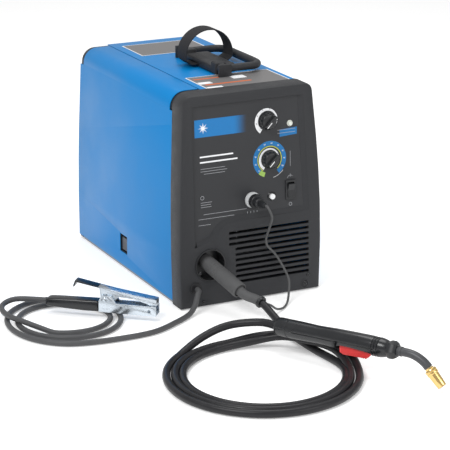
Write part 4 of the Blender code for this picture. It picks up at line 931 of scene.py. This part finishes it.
cheeks = [sheet_piece(f"gun_cheek_{k + 1}", [cheek_shape], 0.0020,
                      GUN @ Matrix.Translation((x, 0, 0)) @ SIDEWAYS, 0.0004)
          for k, x in enumerate((-0.0112, 0.0112))]
screws = [screw(f"gun_screw_{k + 1}",
                GUN @ Matrix.Translation((-0.0143, 0, z)) @ Matrix.Rotation(math.radians(-90), 4, "Y"),
                0.0026) for k, z in enumerate((0.0480, 0.1000))]
gun_body = give(joined("gun_body", body_shell, *cheeks, *screws), satin_black, "case", "black_plastic",
                "gun_handle")
print("gun body has", len(gun_body.data.polygons), "faces")

# %% Ribbed trigger
TRIGGER_SHAPE = [(0.0062, 0.1225), (0.0062, 0.1795), (0.0150, 0.1795), (0.0212, 0.1705), (0.0218, 0.1500),
                 (0.0222, 0.1300), (0.0190, 0.1225)]
blade = sheet_piece("trigger_blade", [TRIGGER_SHAPE], 0.0160, GUN @ SIDEWAYS, 0.0012)
ridges = []
for k in range(11):
    z = 0.1280 + 0.0042 * k
    ridges.append(block_piece(f"trigger_ridge_{k}", (-0.0064, 0.0205, z - 0.0008),
                              (0.0064, 0.0226, z + 0.0008), 0.0006, GUN, 1))
for k in range(9):
    y = 0.0080 + 0.0014 * k
    ridges.append(block_piece(f"trigger_line_{k}", (-0.0084, y - 0.0003, 0.1262),
                              (0.0084, y + 0.0003, 0.1690), 0.0002, GUN, 1))
give(joined("trigger_lever", blade, *ridges), trigger_red, "gun_trigger", "red_plastic", "gun_trigger")
print("trigger has", len(ridges), "ridges")

# %% Collar nut and neck
nut = turn_piece("neck_nut", [(0.0076, GUN_LONG + 0.0165), (0.0116, GUN_LONG + 0.0165),
                              (0.0124, GUN_LONG + 0.0155), (0.0132, GUN_LONG + 0.0140),
                              (0.0150, GUN_LONG + 0.0105), (0.0150, GUN_LONG + 0.0030),
                              (0.0140, GUN_LONG + 0.0010), (0.0140, GUN_LONG + 0.0003),
                              (0.0076, GUN_LONG + 0.0003), (0.0076, GUN_LONG + 0.0165)], GUN, 6)
nut_edge = nut.modifiers.new("rounded", "BEVEL")
nut_edge.width, nut_edge.segments, nut_edge.limit_method = 0.0006, 2, "ANGLE"
apply_all(nut)
settle(nut, HERE)
give(nut, smooth_black, "case", "black_plastic", "gun_collar")
NECK_BEND, NECK_ANGLE = 0.0528, math.radians(47.4)
NECK_STRAIGHT, NECK_RADIUS = 0.0323, 0.0070
neck_end = GUN_LONG + NECK_STRAIGHT
neck_line = [(0, 0, GUN_LONG + 0.0003 + 0.004 * k) for k in range(8)]
neck_line += [(0, NECK_BEND * (1 - math.cos(a)), neck_end + NECK_BEND * math.sin(a))
              for a in np.linspace(0, NECK_ANGLE, 19)]
neck = bar_piece("bent_neck", neck_line, NECK_RADIUS, GUN, 8)
band = turn_piece("neck_band", [(0.0066, neck_end - 0.0120), (0.0078, neck_end - 0.0120),
                                (0.0080, neck_end - 0.0100), (0.0078, neck_end - 0.0080),
                                (0.0066, neck_end - 0.0080), (0.0066, neck_end - 0.0120)], GUN, 32)
give(joined("bent_neck", neck, band), neck_grey, "case", "dark_steel", "gun_neck")
print("neck bends", round(math.degrees(NECK_ANGLE), 1), "degrees")

# %% Nozzle
MOUTH = GUN @ Matrix.Translation(neck_line[-1]) @ Matrix.Rotation(-NECK_ANGLE, 4, "X")
shell = turn_piece("brass_nozzle", [(0.0062, 0.0357), (0.0070, 0.0357), (0.0073, 0.0350), (0.0080, 0.0260),
                                    (0.0085, 0.0150), (0.0086, 0.0128), (0.0093, 0.0122), (0.0096, 0.0114),
                                    (0.0096, 0.0098), (0.0091, 0.0092), (0.0091, 0.0084), (0.0096, 0.0078),
                                    (0.0096, 0.0046), (0.0090, 0.0037), (0.0058, 0.0037), (0.0058, 0.0120),
                                    (0.0062, 0.0357)], MOUTH, 44)
give(shell, brass_bright, "case", "brass", "nozzle")
print("nozzle made")

# %% [markdown]
# ## The work clamp
# Two folded steel jaws on a pin, with a coil spring between them. The lower jaw is a channel with
# a hole near its tip and runs into a black grip. The upper jaw is steel in front of the pin and a
# dark lever behind it, so one refined copy is bisected into the two.

# %% Lower jaw
CLAMP_PIVOT = (-0.090, 0.0235)
CROSSWISE = Matrix.Rotation(math.radians(90), 4, "X")


def cross_hole(name, x, z, radius, steps=20):
    place = CLAMP @ Matrix.Translation((x, 0, z)) @ CROSSWISE
    return turn_piece(name, [(0, -0.03), (radius, -0.03), (radius, 0.03), (0, 0.03)], place, steps)


LEVER_START = -0.1015
lower = refined("clamp_lower_jaw", 0.0005, tools=[cross_hole("tip_hole", -0.0125, 0.0085, 0.0024)])
rivet = turn_piece("jaw_rivet", [(0, 0.0135), (0.0022, 0.0132), (0.0038, 0.0123), (0.0042, 0.0117),
                                 (0.0042, 0.0111), (0, 0.0111)],
                   CLAMP @ Matrix.Translation((CLAMP_PIVOT[0], 0, CLAMP_PIVOT[1])) @ CROSSWISE, 28)
press_marks = [turn_piece(f"press_mark_{k}", [(0, 0.0118), (0.0016, 0.0117), (0.0021, 0.0113),
                                              (0.0021, 0.0105), (0, 0.0105)],
                          CLAMP @ Matrix.Translation((x, 0, 0.0075)) @ CROSSWISE, 20)
               for k, x in enumerate((-0.0930, -0.0860))]
give(joined("lower_jaw", lower, rivet, *press_marks), zinc_plate, "case", "zinc_steel", "clamp_lower_jaw")


print("lower jaw made with", len(press_marks), "press marks")

# %% Upper jaw and its lever
def upper_part(name, keep_front, mat, slot):
    piece = refined("clamp_upper_jaw", 0.0006)
    pick(piece)
    bpy.ops.object.mode_set(mode="EDIT")
    bpy.ops.mesh.select_all(action="SELECT")
    bpy.ops.mesh.bisect(plane_co=CLAMP @ Vector((LEVER_START, 0, 0)),
                        plane_no=CLAMP.to_3x3() @ Vector((1, 0, 0)), use_fill=True, clear_inner=keep_front,
                        clear_outer=not keep_front)
    bpy.ops.object.mode_set(mode="OBJECT")
    piece.name = piece.data.name = name
    return give(piece, mat, "clamp_upper_jaw", slot, "clamp_upper_jaw")


upper_part("upper_jaw", True, zinc_plate, "zinc_steel")
upper_part("jaw_lever", False, satin_black, "zinc_steel")
print("upper jaw and lever made")

# %% Spring and grip
SPRING_TURNS, SPRING_RADIUS, SPRING_WIDE, SPRING_WIRE = 5, 0.0057, 0.0084, 0.0009
coil = []
for t in np.linspace(0, 1, 90):
    a = math.tau * SPRING_TURNS * t
    coil.append((SPRING_RADIUS * math.cos(a), SPRING_WIDE * (t - 0.5), SPRING_RADIUS * math.sin(a)))
spring = bar_piece("jaw_spring", coil, SPRING_WIRE,
                   CLAMP @ Matrix.Translation((CLAMP_PIVOT[0], 0, CLAMP_PIVOT[1])), 4)
give(spring, spring_brown, "case", "copper", "clamp_spring")
grip_shape = [(-CLAMP_LONG, 0.0045), (-0.1900, 0.0030), (-0.1600, 0.0012), (-0.1300, 0.0000),
              (-0.1013, 0.0002), (-0.1013, 0.0195), (-0.1300, 0.0193), (-0.1700, 0.0184), (-0.1880, 0.0176),
              (-CLAMP_LONG, 0.0162)]
grip = sheet_piece("clamp_handle", [grip_shape], 0.0220, CLAMP @ CROSSWISE, 0.0035, 4)
give(grip, satin_black, "case", "black_rubber", "clamp_grip")
print("spring of", SPRING_TURNS, "turns and grip made")

# %% [markdown]
# ## Carry handle and strap
# The handle is a thick moulded U-bar that lies flat to the right. A curve with a wider middle
# gives the bar, and turned eyes hold its pins. The webbing strap is a closed loop, so its outline
# is drawn from the side and given its width.

# %% Carry handle
HANDLE_PIVOT = Vector((0.012, -0.0175, 0.3825))
ARM_HALF, GRIP_X, CORNER = 0.078, 0.075, 0.020


def corner_points(center, radius, start, end, count):
    return [(center[0] + radius * math.cos(a), center[1] + radius * math.sin(a))
            for a in np.radians(np.linspace(start, end, count))]


near, far = HANDLE_PIVOT.y - ARM_HALF, HANDLE_PIVOT.y + ARM_HALF
turn_x = HANDLE_PIVOT.x + GRIP_X - CORNER
bar_line = [(x, near) for x in np.linspace(HANDLE_PIVOT.x + 0.003, turn_x - 0.004, 6)]
bar_line += corner_points((turn_x, near + CORNER), CORNER, -90, 0, 10)
bar_line += [(HANDLE_PIVOT.x + GRIP_X, y) for y in np.linspace(near + CORNER + 0.004, far - CORNER - 0.004,
                                                               15)]
bar_line += corner_points((turn_x, far - CORNER), CORNER, 0, 90, 10)
bar_line += [(x, far) for x in np.linspace(turn_x - 0.004, HANDLE_PIVOT.x + 0.003, 6)]
bar = cable("handle_bar", [(x, y, HANDLE_PIVOT.z) for x, y in bar_line], 0.0075)
for point in bar.data.splines[0].points:
    along_grip = 1 - abs(point.co.y - HANDLE_PIVOT.y) / ARM_HALF
    point.radius = 0.90 + 0.12 * min(1.0, max(0.0, along_grip * 2.2))
bar.data.bevel_resolution = 8
pick(bar)
bpy.ops.object.convert(target="MESH")
bar = settle(call_it("handle_bar"), HERE)
eyes = []
for k, y in enumerate((near, far)):
    place = Matrix.Translation((HANDLE_PIVOT.x, y, HANDLE_PIVOT.z)) @ CROSSWISE
    eyes.append(turn_piece(f"handle_eye_{k}", [(0.0036, -0.0070), (0.0082, -0.0070), (0.0090, -0.0062),
                                               (0.0090, 0.0062), (0.0082, 0.0070), (0.0036, 0.0070),
                                               (0.0036, -0.0070)], place, 36))
give(joined("handle_bar", bar, *eyes), textured_black, "carry_handle", "black_plastic", "carry_handle")
print("handle bar made")

# %% Webbing strap
STRAP_LOW, STRAP_X, STRAP_RADIUS, STRAP_WIDE = 0.3758, 0.0235, 0.0460, 0.036


def strap_loop(radius):
    shift = radius - STRAP_RADIUS
    return [(-0.0340 - shift, -shift), (0.0340 + shift, -shift)] + [
        (radius * math.cos(a), 0.0145 + radius * math.sin(a)) for a in np.radians(np.linspace(-8, 188, 61))]


strap = sheet_piece("strap_webbing",
                    [strap_loop(STRAP_RADIUS + 0.0010), strap_loop(STRAP_RADIUS - 0.0010)[::-1]],
                    STRAP_WIDE, Matrix.Translation((STRAP_X, 0, STRAP_LOW)) @ CROSSWISE, 0.0006)
give(strap, webbing_black, "case", "webbing", "cable_strap")
print("strap loop made")

# %% [markdown]
# ## Plates on the top
# Two printed plates lie on the cover, in front of the handle and behind it. They carry only plain
# bars here. Each is a light border with a darker field on it, as thin as a sticker.

# %% Top plates
TOP = 0.3700


def top_patch(name, x0, x1, y0, y1, mat, lift, slot):
    outline = [(x0, y0), (x1, y0), (x1, y1), (x0, y1)]
    return give(sheet_piece(name, [outline], INK, Matrix.Translation((0, 0, TOP + lift))), mat, "case",
                slot)


plate_grey = ink("plate_grey", (0.155, 0.150, 0.150), 500, 0.22)
for name, x0, x1, y0, y1 in (("front", -0.0570, 0.1040, -0.1750, -0.0850),
                             ("rear", -0.0510, 0.0900, 0.1100, 0.2050)):
    top_patch(f"{name}_plate_border", x0, x1, y0, y1, ink_white, 0.00030, "white_plastic")
    top_patch(f"{name}_plate_field", x0 + 0.0022, x1 - 0.0022, y0 + 0.0022, y1 - 0.0022, plate_grey,
              0.00045, "plate_black")
for k, (x0, x1, y0, y1, mat) in enumerate([(-0.0500, 0.0120, -0.1080, -0.1020, ink_orange),
                                           (-0.0480, 0.0400, -0.1520, -0.1450, ink_orange),
                                           (-0.0540, -0.0300, -0.1420, -0.1280, ink_white),
                                           (0.0180, 0.0440, -0.1260, -0.1060, ink_white),
                                           (-0.0540, -0.0250, -0.1730, -0.1640, ink_white)]):
    top_patch(f"front_plate_bar_{k + 1}", x0, x1, y0, y1, mat, 0.00060, "white_plastic")
print("top plates laid")

# %% [markdown]
# ## Finishing the cables
# Each cable gets its finish and its body, and the CAD cable it stands for is hidden. Both ends of
# all three are in view, so their lengths are those of the routes.

give(gun_cable, cable_rubber, "case", "black_rubber", "gun_cable")
give(work_cable, grey_jacket, "case", "grey_rubber", "work_cable")
give(trigger_lead, boot_rubber, "case", "grey_rubber", "trigger_lead")

# %% [markdown]
# ## Studio
# A wide pale floor glows a little by itself and is lit by three large soft lamps and a dim white
# world, so the shadows are faint and the gloss shows as broad soft bands.

# %% Floor and world
FLOOR_DROP, FLOOR_SIDE, FLOOR_GLOW, WORLD_GLOW = 0.0006, 24, 0.30, 0.55
fresh()
bpy.ops.mesh.primitive_plane_add(size=1, location=(0, 0, -FLOOR_DROP))
floor = call_it("studio_floor")
bpy.ops.transform.resize(value=(FLOOR_SIDE, FLOOR_SIDE, 1))
bpy.ops.object.transform_apply(location=True, rotation=True, scale=True)
floor_white = finish("floor_white", (0.90, 0.90, 0.90), 0.75, grain=(40, 0.01), mottle=(3, 0.004))
floor_shader = floor_white.node_tree.nodes["Principled BSDF"]
floor_shader.inputs["Emission Color"].default_value = (1.0, 1.0, 1.0, 1)
floor_shader.inputs["Emission Strength"].default_value = FLOOR_GLOW
wear(floor, floor_white)
world = bpy.data.worlds.new("studio_world")
bpy.context.scene.world = world
world.use_nodes = True
world.node_tree.nodes["Background"].inputs["Color"].default_value = (1.0, 1.0, 1.0, 1)
world.node_tree.nodes["Background"].inputs["Strength"].default_value = WORLD_GLOW
print("floor laid")

# %% Lamps
def lamp(name, place, aim, size, watts, color=(1, 1, 1)):
    fresh()
    bpy.ops.object.light_add(type="AREA", location=place)
    light = bpy.context.object
    light.name = light.data.name = name
    light.data.shape, light.data.size, light.data.size_y = "RECTANGLE", size[0], size[1]
    light.data.energy = watts
    light.data.color = color
    light.rotation_euler = (Vector(place) - Vector(aim)).to_track_quat("Z", "Y").to_euler()
    return light


lamp("key_lamp", (-1.9, -1.3, 2.3), (0, -0.1, 0.15), (1.4, 1.0), 46)
lamp("front_lamp", (0.9, -2.4, 1.2), (0, -0.1, 0.15), (1.2, 0.8), 12)
lamp("top_lamp", (0.3, 0.4, 2.6), (0, 0, 0.2), (1.6, 1.6), 28)
bpy.context.scene.view_settings.view_transform = "Standard"
print("lamps hung")
